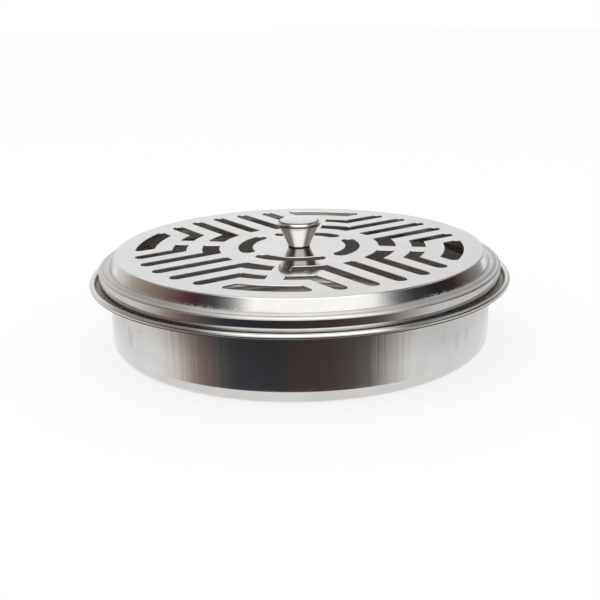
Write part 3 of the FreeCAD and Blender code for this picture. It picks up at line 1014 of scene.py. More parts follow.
def bent_strip(path, bends, thickness, start_free=True, end_free=True):
    """The closed section of a bent strip; free ends are shortened and rounded."""
    path = list(path)
    if start_free:
        path[0] = moved(path[0], unit(path[0], path[1]), thickness / 2)
    if end_free:
        path[-1] = moved(path[-1], unit(path[-1], path[-2]), thickness / 2)
    section = bent_face(path, bends, 0)
    if end_free:
        section += deburred(path[-1], path[-2], thickness)
    section += bent_face(path, bends, thickness)[::-1]
    if start_free:
        back = unit(path[1], path[0])
        start = moved(path[0], left_of(back), -thickness)
        section += deburred(start, moved(start, back, -thickness), thickness)
    return section


print("long runs get points", SUPPORT, "from their bends")

# %% [markdown]
# ## Spinning a profile
# A lathe or a press turns a profile into a round shell.  Blender has a Spin tool and a Screw
# modifier for that, but a small Geometry Nodes tree shows the rule itself and can be used for
# every round piece.  A grid has one row of points for each point of the profile and one
# column for each step round the axis.  Its points are then moved: radius and height come from
# the profile point with the row's number, the angle from the column's.  Merging the doubles
# closes the seam, and the poles of pieces that reach the axis.

# %% A tree that spins a profile
SEGMENTS = 360
MERGE = 0.0005 * MM


def new_tree(name, sockets):
    """An empty Geometry Nodes tree with a geometry input and output and named sizes."""
    tree = bpy.data.node_groups.new(name, "GeometryNodeTree")
    tree.interface.new_socket("Geometry", in_out="INPUT", socket_type="NodeSocketGeometry")
    tree.interface.new_socket("Geometry", in_out="OUTPUT", socket_type="NodeSocketGeometry")
    for label, kind in sockets:
        tree.interface.new_socket(label, in_out="INPUT", socket_type="NodeSocket" + kind)
    return tree, put(tree, "NodeGroupInput").outputs


def end_tree(tree, geometry, material):
    """Realize, shade smooth, set the material and send the geometry out."""
    real = put(tree, "GeometryNodeRealizeInstances", {"Geometry": geometry})
    smooth = put(tree, "GeometryNodeSetShadeSmooth", {"Geometry": real.outputs[0]})
    values = {"Geometry": smooth.outputs[0], "Material": material}
    painted = put(tree, "GeometryNodeSetMaterial", values)
    put(tree, "NodeGroupOutput", {"Geometry": painted.outputs[0]})


def whole(tree, operation, *values):
    """The output of an Integer Math node."""
    node = put(tree, "FunctionNodeIntegerMath", dict(enumerate(values)), operation=operation)
    return node.outputs[0]


def merged(tree, geometry):
    """The geometry with its double points merged."""
    values = {"Geometry": geometry, "Distance": MERGE}
    return put(tree, "GeometryNodeMergeByDistance", values).outputs[0]


def make_spin_tree():
    sockets = [("Segments", "Int"), ("Closed", "Int"), ("Material", "Material")]
    tree, given = new_tree("spin_profile", sockets)
    size = put(tree, "GeometryNodeAttributeDomainSize", {"Geometry": given["Geometry"]})
    count = size.outputs["Point Count"]
    columns = whole(tree, "ADD", given["Segments"], 1)
    rows = whole(tree, "ADD", count, given["Closed"])
    grid = put(tree, "GeometryNodeMeshGrid", {"Vertices X": rows, "Vertices Y": columns})
    index = put(tree, "GeometryNodeInputIndex").outputs[0]
    row = whole(tree, "DIVIDE", index, columns)
    column = whole(tree, "MODULO", index, columns)
    place = put(tree, "GeometryNodeInputPosition").outputs[0]
    values = {"Geometry": given["Geometry"], "Index": whole(tree, "MODULO", row, count)}
    values["Value"] = place
    options = {"data_type": "FLOAT_VECTOR", "domain": "POINT"}
    sample = put(tree, "GeometryNodeSampleIndex", values, **options)
    profile = split(tree, sample.outputs["Value"])
    angle = calc(tree, "MULTIPLY", calc(tree, "DIVIDE", column, given["Segments"]), FULL_TURN)
    x = calc(tree, "MULTIPLY", profile["X"], calc(tree, "COSINE", angle))
    y = calc(tree, "MULTIPLY", profile["X"], calc(tree, "SINE", angle))
    target = combine(tree, X=x, Y=y, Z=profile["Z"])
    values = {"Geometry": grid.outputs["Mesh"], "Position": target}
    shell = put(tree, "GeometryNodeSetPosition", values)
    end_tree(tree, merged(tree, shell.outputs[0]), given["Material"])
    return tree


spin_tree = make_spin_tree()
print("tree", spin_tree.name, "with", len(spin_tree.nodes), "nodes")

# %% Run a tree and keep its mesh


def evaluated(worker, name, material):
    """The mesh that an object's modifiers make, in one material."""
    graph = bpy.context.evaluated_depsgraph_get()
    mesh = bpy.data.meshes.new_from_object(worker.evaluated_get(graph))
    mesh.name = name
    mesh.materials.clear()
    mesh.materials.append(material)
    mesh.polygons.foreach_set("material_index", [0] * len(mesh.polygons))
    return mesh


def grown(name, source, tree, sizes):
    """Put a tree on a mesh, set its inputs by identifier, and return the finished mesh."""
    worker = placed(name + "_worker", source)
    modifier = worker.modifiers.new(tree.name, "NODES")
    modifier.node_group = tree
    for item in tree.interface.items_tree:
        if item.in_out == "INPUT" and item.name in sizes:
            modifier[item.identifier] = sizes[item.name]
    mesh = evaluated(worker, name, sizes["Material"])
    bpy.data.objects.remove(worker)
    return mesh


def face_outwards(mesh):
    """Turn the faces out, and drop the edge that a profile can leave along the axis."""
    work = bmesh.new()
    work.from_mesh(mesh)
    unused = [edge for edge in work.edges if not edge.link_faces]
    bmesh.ops.delete(work, geom=unused, context="EDGES")
    bmesh.ops.recalc_face_normals(work, faces=work.faces)
    work.to_mesh(mesh)
    work.free()


def spun(name, points, material, closed=True, segments=SEGMENTS):
    """A profile spun about the axis; one that starts and ends on the axis closes itself."""
    profile = bpy.data.meshes.new("profile")
    profile.from_pydata([(radius, 0, height) for radius, height in points], [], [])
    on_axis = points[0][0] < MERGE and points[-1][0] < MERGE
    sizes = {"Segments": segments, "Closed": int(closed and not on_axis), "Material": material}
    mesh = grown(name, profile, spin_tree, sizes)
    face_outwards(mesh)
    return mesh


def piece(name, mesh, body, slot, *nodes):
    """A finished piece at the origin, which rides on a body and stands for CAD nodes."""
    made = placed(name, mesh)
    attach(made, body)
    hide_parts(*nodes)
    print(name, "has", sum(len(face.vertices) - 2 for face in mesh.polygons), "triangles")
    return made


# %% [markdown]
# ## Dish
# The real dish is one blank of sheet, pressed in steps: a raised panel stiffens its bottom, a
# generous bend leads into the upright wall, a narrow flange carries the lid, and the edge is
# curled outwards so that nobody cuts a finger on it.

# %% Dish
PANEL_UPPER_BEND = 1 * MM
PANEL_LOWER_BEND = 1.5 * MM
FLANGE_BEND = 0.6 * MM
LIP_BEND = 1 * MM


def make_dish():
    curl_top = rim_height - SHEET
    curl_low = rim_height - CURL_RADIUS - CURL_HOLLOW
    path = [
        (0, PANEL_RISE),
        (panel_radius, PANEL_RISE),
        (panel_radius + PANEL_RISE, 0),
        (dish_radius, 0),
        (dish_radius, seat_height),
        (lip_radius, seat_height),
        (lip_radius, curl_top),
        (lip_radius + 2 * CURL_HOLLOW, curl_top),
        (lip_radius + 2 * CURL_HOLLOW, curl_low),
        (lip_radius + CURL_HOLLOW, curl_low),
    ]
    bends = [PANEL_UPPER_BEND, PANEL_LOWER_BEND, BASE_BEND, FLANGE_BEND, LIP_BEND]
    bends += [CURL_HOLLOW] * 3
    section = bent_strip(path, bends, SHEET, start_free=False, end_free=False)
    return spun("dish", section, finish["dish"])


piece("dish_shell", make_dish(), "tray", "dish_steel", "dish")

# %% [markdown]
# ## Lid: its rim
# Seen from the side the lid steps up from a short upright skirt over a rounded shoulder, a
# shallow groove, a small bead and a steep bevel to the flat top.  These steps stiffen the thin
# plate.  Only the rim is spun here.  It stops a little inside the bevel, where the pierced
# plate takes over with the same number of points, so that the two can be welded.

# %% Lid rim
SHOULDER_BEND = 1.1 * MM
GROOVE_BEND = 0.6 * MM
BEAD_BEND = 0.9 * MM
BEVEL_FOOT_BEND = 0.4 * MM
TOP_BEND = 0.8 * MM


def make_lid_rim():
    bevel_foot = lid_top - BEVEL_DROP
    bead_height = bevel_foot + BEAD_RISE
    groove_height = bead_height - GROOVE_DROP
    path = [
        (lid_radius, lid_foot),
        (lid_radius, groove_height + SHOULDER_RISE),
        (groove_radius, groove_height),
        (bead_radius, bead_height),
        (bevel_foot_radius, bevel_foot),
        (top_radius, lid_top),
        (weld_radius, lid_top),
    ]
    bends = [SHOULDER_BEND, GROOVE_BEND, BEAD_BEND, BEVEL_FOOT_BEND, TOP_BEND]
    section = bent_strip(path, bends, SHEET, end_free=False)
    # The open profile has to start and end where the plate is welded on
    turn = section.index(min(section, key=lambda point: point[0] - point[1] * MM))
    section = section[turn + 1:] + section[:turn + 1]
    return spun("lid_rim", section, finish["lid"], closed=False)


lid_rim = make_lid_rim()
print("lid rim", len(lid_rim.vertices), "points, welded at", round(weld_radius, 5))

# %% [markdown]
# ## Lid: its slots
# The slots are punched in a pattern that repeats four times.  Each quarter has a straight slot
# on the 45 degree line, two pairs of bent slots beside it, a short ring slot near the knob and
# a ring slot at the edge.  One quarter is drawn here as outlines with rounded corners, and a
# Geometry Nodes tree does the rest.

# %% Places of the slots
SLOT_WIDTH = 4.9 * MM
SLOT_CORNER = 0.5 * MM
WEB_WIDTH = 6.6 * MM
# Half the width of the fan of slots, as a share of their reach, and its steps
FAN_SHARE = 0.53
FAN_STEPS = 3
# Widths of the slots, and of the metal between them, from the edge inwards
EDGE_SLOT_WIDTH = 7.2 * MM
EDGE_WEB = 7.2 * MM
LONG_LEG_WIDTH = 5.3 * MM
LEG_WEB = 6.2 * MM
SHORT_LEG_WIDTH = 6.5 * MM
HUB_WEB = 7.5 * MM
HUB_WIDTH = 5.4 * MM
HUB_BRIDGE = 5 * MM
EDGE_CORNER = 1.8 * MM
MIDDLE_SETBACK = 0.5 * MM
slot_pitch = slot_reach * FAN_SHARE / FAN_STEPS
edge_inner = slot_reach - EDGE_SLOT_WIDTH
long_outer = edge_inner - EDGE_WEB
long_inner = long_outer - LONG_LEG_WIDTH
short_outer = long_inner - LEG_WEB
short_inner = short_outer - SHORT_LEG_WIDTH
hub_radius = short_inner - HUB_WEB - HUB_WIDTH / 2
middle_start = short_inner + MIDDLE_SETBACK
print(f"slots reach {slot_reach:.4f} and start at {short_inner:.4f}, hub slots {hub_radius:.4f}")

# %% Runs of an outline
RING_STEP = math.radians(1)
CORNER_STEP = math.radians(18)


def on_diagonal(along, across):
    return (along - across) * math.sqrt(0.5), (along + across) * math.sqrt(0.5)


def along_circle(radius, across):
    return math.sqrt(radius ** 2 - across ** 2)


def ring(start, end):
    """Points of an arc about the middle, the short way from start to end."""
    radius = math.hypot(*start)
    first = math.atan2(start[1], start[0])
    sweep = math.remainder(math.atan2(end[1], end[0]) - first, FULL_TURN)
    count = max(2, math.ceil(abs(sweep) / RING_STEP))
    angles = [first + sweep * k / count for k in range(count)]
    return [(radius * math.cos(a), radius * math.sin(a)) for a in angles] + [end]


def half_round(start, end):
    """Points of a half circle that bulges to the right of the way from start to end."""
    centre = ((start[0] + end[0]) / 2, (start[1] + end[1]) / 2)
    return swept(centre, unit(centre, start), math.dist(centre, start), math.pi) + [end]


def cut_back(points, distance):
    """A run of points with a length taken off its start."""
    points = list(points)
    while distance > 0 and len(points) > 1:
        step = math.dist(points[0], points[1])
        if step > distance:
            return [moved(points[0], unit(points[0], points[1]), distance)] + points[1:]
        distance -= step
        points = points[1:]
    return points


def outline(*runs):
    """Join runs of points, each given with the corner radius at its end, into a loop."""
    corners = []
    for (points, radius), (following, _) in zip(runs, runs[1:] + runs[:1]):
        sweep = sweep_between(unit(points[-2], points[-1]), unit(following[0], following[1]))
        corners.append((radius, sweep, radius * math.tan(abs(sweep) / 2)))
    loop = []
    for k, (points, _) in enumerate(runs):
        radius, sweep, tangent = corners[k]
        points = cut_back(points, corners[k - 1][2])
        points = cut_back(points[::-1], tangent)[::-1]
        if tangent:
            heading = unit(points[-2], points[-1])
            loop += points + corner_arc(points[-1], heading, radius, sweep, CORNER_STEP)[1:]
        else:
            loop += points[:-1]
    return loop


print("corners in steps of", round(math.degrees(CORNER_STEP)), "degrees")

# %% Outlines of the fan


def middle_slot():
    half = SLOT_WIDTH / 2
    far = slot_reach - half
    near = [on_diagonal(middle_start, half), on_diagonal(middle_start, -half)]
    tip = [on_diagonal(far, -half), on_diagonal(far, half)]
    return outline(
        ([near[0], near[1]], SLOT_CORNER),
        ([near[1], tip[0]], 0),
        (half_round(tip[0], tip[1]), 0),
        ([tip[1], near[0]], SLOT_CORNER),
    )


def bent_slot(across, inner, outer):
    half = SLOT_WIDTH / 2
    web = WEB_WIDTH / 2
    far = along_circle(slot_reach - half, across)
    web_inner = (web, along_circle(inner, web))
    web_outer = (web, along_circle(outer, web))
    elbow_inner = on_diagonal(along_circle(inner, across - half), across - half)
    elbow_outer = on_diagonal(along_circle(outer, across + half), across + half)
    tip = [on_diagonal(far, across - half), on_diagonal(far, across + half)]
    return outline(
        (ring(web_inner, elbow_inner), SLOT_CORNER),
        ([elbow_inner, tip[0]], 0),
        (half_round(tip[0], tip[1]), 0),
        ([tip[1], elbow_outer], SLOT_CORNER),
        (ring(elbow_outer, web_outer), SLOT_CORNER),
        ([web_outer, web_inner], SLOT_CORNER),
    )


print("straight slot", len(middle_slot()), "points")

# %% Outlines of the ring slots


def hub_slot():
    half = HUB_WIDTH / 2
    turn = math.pi / 4 - math.asin((HUB_BRIDGE / 2 + half) / hub_radius)
    up = (math.cos(turn), math.sin(turn))
    down = (up[0], -up[1])
    low = [moved((0, 0), down, hub_radius - half), moved((0, 0), down, hub_radius + half)]
    high = [moved((0, 0), up, hub_radius - half), moved((0, 0), up, hub_radius + half)]
    return outline(
        (ring(low[1], high[1]), 0),
        (half_round(high[1], high[0]), 0),
        (ring(high[0], low[0]), 0),
        (half_round(low[0], low[1]), 0),
    )


def edge_slot():
    across = SLOT_WIDTH / 2 - FAN_STEPS * slot_pitch
    outer = on_diagonal(along_circle(slot_reach, across), across)
    inner = on_diagonal(along_circle(edge_inner, across), across)
    low_outer = (outer[0], -outer[1])
    low_inner = (inner[0], -inner[1])
    return outline(
        (ring(low_outer, outer), EDGE_CORNER),
        ([outer, inner], SLOT_CORNER),
        (ring(inner, low_inner), SLOT_CORNER),
        ([low_inner, low_outer], EDGE_CORNER),
    )


print("slot by the knob", len(hub_slot()), "points, at the edge", len(edge_slot()), "points")

# %% Outlines of one quarter


def anticlockwise(loop):
    """The loop, reversed where it runs clockwise."""
    area = sum(a[0] * b[1] - b[0] * a[1] for a, b in zip(loop, loop[1:] + loop[:1]))
    return loop if area > 0 else loop[::-1]


def quarter_outlines():
    bent = [
        bent_slot(slot_pitch, short_inner, short_outer),
        bent_slot(2 * slot_pitch, long_inner, long_outer),
    ]
    mirrored = [[(y, x) for x, y in loop] for loop in bent]
    loops = bent + mirrored + [middle_slot(), hub_slot(), edge_slot()]
    return [anticlockwise(loop) for loop in loops]


outlines = quarter_outlines()
print(len(outlines), "outlines with", sum(len(loop) for loop in outlines), "points")

# %% [markdown]
# A punch leaves a rounded edge on the side that it enters and a nearly sharp one where it
# leaves.  `slot_walls` stands a strip of faces on each outline: wider at the top where the
# edge is rounded, straight through the sheet, and slightly wider again at the bottom.

# %% Walls of the slots
PUNCH_EDGE = 0.2 * MM
PUNCH_MIDDLE = PUNCH_EDGE * 0.3
BREAK_EDGE = 0.03 * MM
# Each level of a slot's wall: how far it stands back from the outline, and its height
WALL_LEVELS = [
    (PUNCH_EDGE, lid_top),
    (PUNCH_MIDDLE, lid_top - PUNCH_MIDDLE),
    (0, lid_top - PUNCH_EDGE),
    (0, underside + BREAK_EDGE),
    (BREAK_EDGE, underside),
]


def widened(loop, distance):
    """An anticlockwise loop with every point moved outwards."""
    points = []
    for before, here, after in zip(loop[-1:] + loop[:-1], loop, loop[1:] + loop[:1]):
        points.append(moved(here, left_of(unit(before, after)), -distance))
    return points


def slot_walls():
    corners = []
    faces = []
    for loop in outlines:
        count = len(loop)
        first = len(corners)
        for back, height in WALL_LEVELS:
            corners += [(x, y, height) for x, y in widened(loop, back)]
        for level in range(len(WALL_LEVELS) - 1):
            for k in range(count):
                a = first + level * count + k
                b = first + level * count + (k + 1) % count
                faces.append((a, b, b + count, a + count))
    mesh = bpy.data.meshes.new("slot_walls")
    mesh.from_pydata(corners, [], faces)
    return mesh


walls = slot_walls()
print("walls of one quarter:", len(walls.polygons), "faces")

# %% [markdown]
# The tree stands four copies of the quarter round the middle, then closes the plate: the top
# edges of the walls, the edge of the screw hole and the weld circle are filled as one face
# with holes, and the same is done for the underside.

# %% Parts of the tree that pierces a plate
QUARTERS = 4
HOLE_SEGMENTS = 48
LEVEL_SLACK = 0.005 * MM


def joined(tree, *parts):
    """Several geometries as one."""
    node = put(tree, "GeometryNodeJoinGeometry")
    for part in parts:
        tree.links.new(part, node.inputs[0])
    return node.outputs[0]


def lifted(tree, geometry, height):
    """The geometry, moved up."""
    values = {"Geometry": geometry, "Translation": combine(tree, Z=height)}
    return put(tree, "GeometryNodeTransform", values).outputs[0]


def filled_level(tree, given, walls, height):
    """The plate's face at one height, between the wall's edges there and the weld circle."""
    place = put(tree, "GeometryNodeInputPosition").outputs[0]
    off = calc(tree, "ABSOLUTE", calc(tree, "SUBTRACT", split(tree, place)["Z"], height))
    at_level = put(tree, "FunctionNodeCompare", {0: off, 1: LEVEL_SLACK}, operation="LESS_THAN")
    values = {"Mesh": walls, "Selection": at_level.outputs[0]}
    edges = put(tree, "GeometryNodeMeshToCurve", values)
    values = {"Resolution": given["Segments"], "Radius": given["Weld radius"]}
    circle = put(tree, "GeometryNodeCurvePrimitiveCircle", values)
    curves = joined(tree, edges.outputs[0], circle.outputs[0])
    face = put(tree, "GeometryNodeFillCurve", {"Curve": curves})
    return lifted(tree, face.outputs[0], height)


def copied_round(tree, geometry, count):
    """Copies of a geometry, evenly turned about the axis."""
    seats = put(tree, "GeometryNodeMeshLine", {"Count": count, "Offset": (0, 0, 0)})
    index = put(tree, "GeometryNodeInputIndex").outputs[0]
    turn = calc(tree, "MULTIPLY", index, calc(tree, "DIVIDE", FULL_TURN, count))
    values = {"Points": seats.outputs[0], "Instance": geometry, "Rotation": combine(tree, Z=turn)}
    copies = put(tree, "GeometryNodeInstanceOnPoints", values)
    return put(tree, "GeometryNodeRealizeInstances", {"Geometry": copies.outputs[0]}).outputs[0]


print("the quarter stands", QUARTERS, "times round the middle")

# %% Pierce a plate


def hole_wall(tree, given):
    """The upright wall of the screw hole."""
    values = {"Vertices": given["Hole segments"], "Radius": given["Hole radius"]}
    edge = lifted(tree, put(tree, "GeometryNodeMeshCircle", values).outputs[0], given["Top"])
    depth = calc(tree, "SUBTRACT", given["Underside"], given["Top"])
    values = {"Mesh": edge, "Offset": combine(tree, Z=depth), "Offset Scale": 1}
    return put(tree, "GeometryNodeExtrudeMesh", values, mode="EDGES").outputs[0]


def make_pierce_tree():
    sockets = [("Quarters", "Int"), ("Segments", "Int"), ("Weld radius", "Float")]
    sockets += [("Top", "Float"), ("Underside", "Float"), ("Hole radius", "Float")]
    sockets += [("Hole segments", "Int"), ("Material", "Material")]
    tree, given = new_tree("pierce_plate", sockets)
    slots = copied_round(tree, given["Geometry"], given["Quarters"])
    standing = joined(tree, slots, hole_wall(tree, given))
    upper = filled_level(tree, given, standing, given["Top"])
    lower = filled_level(tree, given, standing, given["Underside"])
    plate = joined(tree, standing, upper, lower)
    end_tree(tree, merged(tree, plate), given["Material"])
    return tree


pierce_tree = make_pierce_tree()
print("tree", pierce_tree.name, "with", len(pierce_tree.nodes), "nodes")

# %% Weld plate and rim into the lid
# The upward part of a flat face's normal, and of one that is steep enough for a crisp edge
FLAT = 0.9999
STEEP = 0.95


def welded(name, meshes):
    """Several meshes as one, doubles merged, faces outwards, flats kept crisp at their edges."""
    work = bmesh.new()
    for mesh in meshes:
        work.from_mesh(mesh)
    bmesh.ops.remove_doubles(work, verts=work.verts, dist=MERGE)
    bmesh.ops.recalc_face_normals(work, faces=work.faces)
    for edge in work.edges:
        tilts = [abs(face.normal.z) for face in edge.link_faces]
        inside = all(math.hypot(v.co.x, v.co.y) < weld_radius for v in edge.verts)
        edge.smooth = not (inside and max(tilts) > FLAT and min(tilts) < STEEP)
    print(name, "open edges", sum(len(edge.link_faces) != 2 for edge in work.edges))
    result = kept(work, name)
    result.materials.append(meshes[0].materials[0])
    return result


def make_lid():
    sizes = {"Quarters": QUARTERS, "Segments": SEGMENTS, "Weld radius": weld_radius}
    sizes |= {"Top": lid_top, "Underside": underside, "Hole radius": SCREW_HOLE}
    sizes |= {"Hole segments": HOLE_SEGMENTS, "Material": finish["lid"]}
    plate = grown("lid_plate", walls, pierce_tree, sizes)
    return welded("lid", [plate, lid_rim])


piece("lid_shell", make_lid(), "cover", "lid_steel", "lid")

# %% [markdown]
# ## Knob
# The knob is hollow.  A thin cone flares up from a flat floor, and a shallow cap closes it with
# a hem that is pressed round the cone's upper edge.  A boss inside takes the screw.  Cone and
# cap are both turned profiles, so the same tree spins them.

# %% Knob
KNOB_BASE_BEND = 0.6 * MM
HEM_BEND = 0.5 * MM
HEM_PLAY = 0.03 * MM
RIM_GAP = 0.3 * MM
CROWN_STEPS = 16
SHOULDER_STEP = BEND_STEP / 1.5
KNOB_SEGMENTS = 192
base = (KNOB_BASE, knob_floor)
widest = (knob_radius, hem_top)


def cone_side():
    """The direction of the cone's side, which passes just inside the cap's hem."""
    slope = math.atan2(widest[1] - base[1], widest[0] - base[0])
    slope += math.asin((KNOB_SHEET + HEM_PLAY) / math.dist(base, widest))
    return math.cos(slope), math.sin(slope)


def make_cone():
    side = cone_side()
    top = moved(base, side, (widest[1] - RIM_GAP - base[1]) / side[1])
    section = bent_strip([(SCREW_HOLE, knob_floor), base, top], [KNOB_BASE_BEND], KNOB_SHEET)
    return spun("knob_cone", section, finish["knob"], segments=KNOB_SEGMENTS)


def cap_face(inset):
    """One face of the cap, from the hem's foot over the shoulder to the middle."""
    side = cone_side()
    shoulder = (widest[0] - CROWN_SHOULDER, widest[1])
    reach = shoulder[0] ** 2 + CROWN_HEIGHT ** 2 - CROWN_SHOULDER ** 2
    crown = reach / (2 * (CROWN_HEIGHT - CROWN_SHOULDER))
    crown_middle = (0, knob_top - crown)
    turn = math.atan2(side[0], side[1])
    tangent = HEM_BEND * math.tan(turn / 2)
    foot = moved(moved(widest, side, -HEM_LENGTH + KNOB_SHEET / 2), left_of(side), inset)
    bend_middle = (widest[0] - HEM_BEND, widest[1] + tangent)
    bend_start = moved(bend_middle, right_of(side), HEM_BEND - inset)
    points = straight(foot, bend_start)
    points += swept(bend_middle, right_of(side), HEM_BEND - inset, turn)
    lift = math.asin(tangent / (CROWN_SHOULDER - inset))
    lean = unit(crown_middle, shoulder)
    lean_angle = math.atan2(lean[1], lean[0])
    start = (math.cos(lift), math.sin(lift))
    points += swept(shoulder, start, CROWN_SHOULDER - inset, lean_angle - lift, SHOULDER_STEP)
    sweep = math.pi / 2 - lean_angle
    points += swept(crown_middle, lean, crown - inset, sweep, sweep / CROWN_STEPS)
    return points + [(0, knob_top - inset)]


def make_cap():
    outer = cap_face(0)
    inner = cap_face(KNOB_SHEET)
    hem = deburred(outer[0], moved(outer[0], cone_side(), KNOB_SHEET), -KNOB_SHEET)
    section = outer + inner[::-1] + hem[::-1]
    return spun("knob_cap", section, finish["knob"], segments=KNOB_SEGMENTS)


piece("knob_cone_shell", make_cone(), "cover", "knob_steel", "knob_cone")
piece("knob_cap_shell", make_cap(), "cover", "knob_steel", "knob_cap")

# %% [markdown]
# Three turned pieces hold the knob to the lid: the boss on the knob's floor, the screw that
# comes up through the lid, and the washer under it.  Their sharp corners are eased a little,
# because no real edge is perfectly sharp and a bright line runs along every eased one.

# %% Boss and washer
EASE = 0.08 * MM
EASE_STEP = math.radians(30)
BOSS_HEIGHT = 6 * MM
BOSS_HOLE = 2.05 * MM
BOSS_CHAMFER = 0.5 * MM
BOSS_PLAY = 0.5 * MM


def eased(points):
    """A closed section, anticlockwise, with every corner off the axis rounded."""
    section = []
    for before, here, after in zip(points[-1:] + points[:-1], points, points[1:] + points[:1]):
        heading = unit(before, here)
        onward = unit(here, after)
        sweep = sweep_between(heading, onward)
        tangent = EASE * math.tan(abs(sweep) / 2)
        room = min(math.dist(before, here), math.dist(here, after)) / 2
        if here[0] < EASE or tangent > room:
            section.append(here)
            continue
        start = moved(here, heading, -tangent)
        section += corner_arc(start, heading, EASE, sweep, EASE_STEP)
        section.append(moved(here, onward, tangent))
    return section


def make_boss():
    floor = knob_floor + KNOB_SHEET
    radius = KNOB_BASE - KNOB_SHEET - BOSS_PLAY
    top = floor + BOSS_HEIGHT
    section = [(BOSS_HOLE, floor), (radius, floor), (radius, top - BOSS_CHAMFER)]
    section += [(radius - BOSS_CHAMFER, top), (BOSS_HOLE, top)]
    return spun("knob_boss", eased(section), finish["zinc"], segments=KNOB_SEGMENTS)


def make_washer():
    section = [(SCREW_HOLE, washer_low), (washer_radius, washer_low)]
    section += [(washer_radius, underside), (SCREW_HOLE, underside)]
    return spun("washer", eased(section), finish["zinc"], segments=KNOB_SEGMENTS)


piece("knob_boss", make_boss(), "cover", "fastener_zinc", "knob_insert")
piece("screw_washer", make_washer(), "cover", "fastener_zinc", "knob_washer")

# %% [markdown]
# The screw's head has a cross recess for the driver.  A Boolean takes a tapered cross out of
# the turned blank, as the heading punch does with the real screw.

# %% Sizes of the screw
SCREW_SHANK = 2 * MM
SCREW_CHAMFER = 0.5 * MM
HEAD_RADIUS = 3.9 * MM
HEAD_BEND = 1.2 * MM
CROSS_REACH = 2.1 * MM
CROSS_HALF = 0.42 * MM
CROSS_DEPTH = 1.5 * MM
CROSS_START = 0.1 * MM
CROSS_TAPER_SHARE = 0.45
# The share of their width that the arms of the cross would keep if they had no length
CROSS_KEEPS_SHARE = 0.4
# Angles over which an edge is rounded, and over which it is shaded as sharp
SCREW_EASED_OVER = math.radians(35)
SCREW_SHARP_OVER = math.radians(40)
print(f"screw {screw_high - screw_low:.4f} long, recess {CROSS_DEPTH:.4f} deep")

# %% Blank and cross


def make_screw_blank():
    section = [(0, screw_low)]
    middle = (HEAD_RADIUS - HEAD_BEND, screw_low + HEAD_BEND)
    section += swept(middle, (0, -1), HEAD_BEND, math.pi / 2)
    section += [(HEAD_RADIUS, screw_low + HEAD_BEND), (HEAD_RADIUS, washer_low)]
    section += [(SCREW_SHANK, washer_low), (SCREW_SHANK, screw_high - SCREW_CHAMFER)]
    section += [(SCREW_SHANK - SCREW_CHAMFER, screw_high), (0, screw_high)]
    return spun("screw", section, finish["zinc"], segments=KNOB_SEGMENTS)


def cross_outline(share, height):
    """Twelve corners of a cross whose arms shrink by the share."""
    reach = CROSS_REACH * share
    half = CROSS_HALF * (CROSS_KEEPS_SHARE + (1 - CROSS_KEEPS_SHARE) * share)
    corners = []
    for quarter in range(4):
        for along, across in ((half, -half), (reach, -half), (reach, half)):
            x, y = turned((along, across), quarter * math.pi / 2)
            corners.append((x, y, height))
    return corners


def cross_mesh():
    low = cross_outline(1, screw_low - CROSS_START)
    high = cross_outline(CROSS_TAPER_SHARE, screw_low + CROSS_DEPTH)
    count = len(low)
    sides = [(k, (k + 1) % count, (k + 1) % count + count, k + count) for k in range(count)]
    ends = [tuple(range(count))[::-1], tuple(range(count, 2 * count))]
    mesh = bpy.data.meshes.new("cross")
    mesh.from_pydata(low + high, [], sides + ends)
    face_outwards(mesh)
    return mesh


print("cross with", len(cross_outline(1, screw_low)), "corners")

# %% Screw with its recess


def add_bevel(made, width, angle):
    """Round the edges of an object that are sharper than an angle."""
    bevel = made.modifiers.new("eased_edges", "BEVEL")
    bevel.width = width
    bevel.segments = 2
    bevel.limit_method = "ANGLE"
    bevel.angle_limit = angle
    return bevel


def make_screw():
    blank = make_screw_blank()
    cutter = placed("cross", cross_mesh())
    worker = placed("screw_worker", blank)
    cut = worker.modifiers.new("recess", "BOOLEAN")
    cut.object = cutter
    cut.operation = "DIFFERENCE"
    cut.solver = "EXACT"
    add_bevel(worker, EASE / 2, SCREW_EASED_OVER)
    mesh = evaluated(worker, "screw", finish["zinc"])
    mesh.set_sharp_from_angle(angle=SCREW_SHARP_OVER)
    for helper in (cutter, worker):
        bpy.data.objects.remove(helper)
    return mesh


piece("knob_screw_turned", make_screw(), "cover", "fastener_zinc", "knob_screw")

# %% [markdown]
# ## Rivets of the stand
# Two rivets with domed heads clinch the stand to the dish's raised panel.  One is turned, and a
# Geometry Nodes tree sets a copy at each end of the stand.

# %% Rivets
RIVET_SHANK = 1.2 * MM
RIVET_HEAD = 2.2 * MM
RIVET_TAIL = 2.0 * MM
RIVET_TAIL_HEIGHT = 0.7 * MM
RIVET_SEGMENTS = 48
DOME_STEPS = 8
rivet_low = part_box("stand_rivets")[0].z
rivet_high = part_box("stand_rivets")[1].z
rivet_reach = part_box("stand_rivets")[1].x - RIVET_HEAD
stand_top = PANEL_RISE + 2 * SHEET


def dome_points(radius, floor, height):
    """A dome from its edge to just before the axis; it hangs where the height is negative."""
    sphere = (radius ** 2 + height ** 2) / (2 * height)
    middle = floor + height - sphere
    half_angle = math.asin(radius / abs(sphere))
    angles = [half_angle * (1 - k / DOME_STEPS) for k in range(DOME_STEPS)]
    return [(abs(sphere) * math.sin(a), middle + sphere * math.cos(a)) for a in angles]


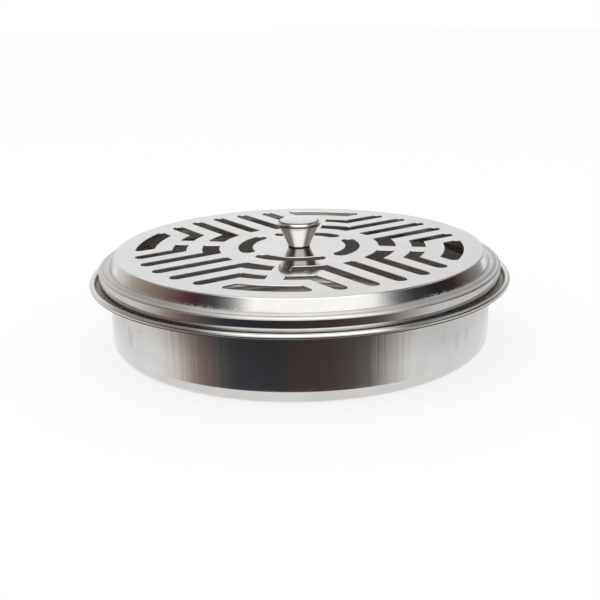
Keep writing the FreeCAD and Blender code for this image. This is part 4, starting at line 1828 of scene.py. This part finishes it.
def make_rivet():
    tail = dome_points(RIVET_TAIL, PANEL_RISE, -RIVET_TAIL_HEIGHT)
    head = dome_points(RIVET_HEAD, stand_top, rivet_high - stand_top)
    section = [(0, rivet_low)] + tail[::-1]
    section += [(RIVET_SHANK, PANEL_RISE), (RIVET_SHANK, stand_top)]
    section += head + [(0, rivet_high)]
    return spun("rivet", section, finish["rivet"], segments=RIVET_SEGMENTS)


def make_copy_tree():
    sockets = [("Reach", "Float"), ("Material", "Material")]
    tree, given = new_tree("copy_to_both_ends", sockets)
    start = combine(tree, X=calc(tree, "MULTIPLY", given["Reach"], -1))
    stride = combine(tree, X=calc(tree, "MULTIPLY", given["Reach"], 2))
    values = {"Count": 2, "Start Location": start, "Offset": stride}
    seats = put(tree, "GeometryNodeMeshLine", values)
    values = {"Points": seats.outputs[0], "Instance": given["Geometry"]}
    copies = put(tree, "GeometryNodeInstanceOnPoints", values)
    end_tree(tree, copies.outputs[0], given["Material"])
    return tree


rivet_sizes = {"Reach": rivet_reach, "Material": finish["rivet"]}
rivet_mesh = grown("rivets", make_rivet(), make_copy_tree(), rivet_sizes)
piece("stand_rivet_heads", rivet_mesh, "tray", "rivet_metal", "stand_rivets")

# %% [markdown]
# ## Coil stand
# The stand is a strip with a tongue lanced out of it and bent upright, on which the coil is
# impaled.  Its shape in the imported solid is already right.  A copy of it is merged into whole
# faces and gets the small burr-free edges of tumbled steel from a Bevel modifier.

# %% Coil stand
STAND_EASE = 0.07 * MM
STAND_EASED_OVER = math.radians(40)
STAND_SHARP_OVER = math.radians(30)
SAME_PLANE = math.radians(0.5)


def make_stand():
    work = bmesh.new()
    work.from_mesh(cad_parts["coil_stand"].data)
    bmesh.ops.remove_doubles(work, verts=work.verts, dist=MERGE)
    bmesh.ops.dissolve_limit(
        work, angle_limit=SAME_PLANE, verts=work.verts, edges=work.edges, delimit={"NORMAL"}
    )
    bmesh.ops.recalc_face_normals(work, faces=work.faces)
    mesh = kept(work, "coil_stand")
    mesh.shade_smooth()
    mesh.set_sharp_from_angle(angle=STAND_SHARP_OVER)
    mesh.materials.append(finish["stand"])
    return mesh


stand = piece("coil_stand_pressed", make_stand(), "tray", "stand_steel", "coil_stand")
add_bevel(stand, STAND_EASE, STAND_EASED_OVER).harden_normals = True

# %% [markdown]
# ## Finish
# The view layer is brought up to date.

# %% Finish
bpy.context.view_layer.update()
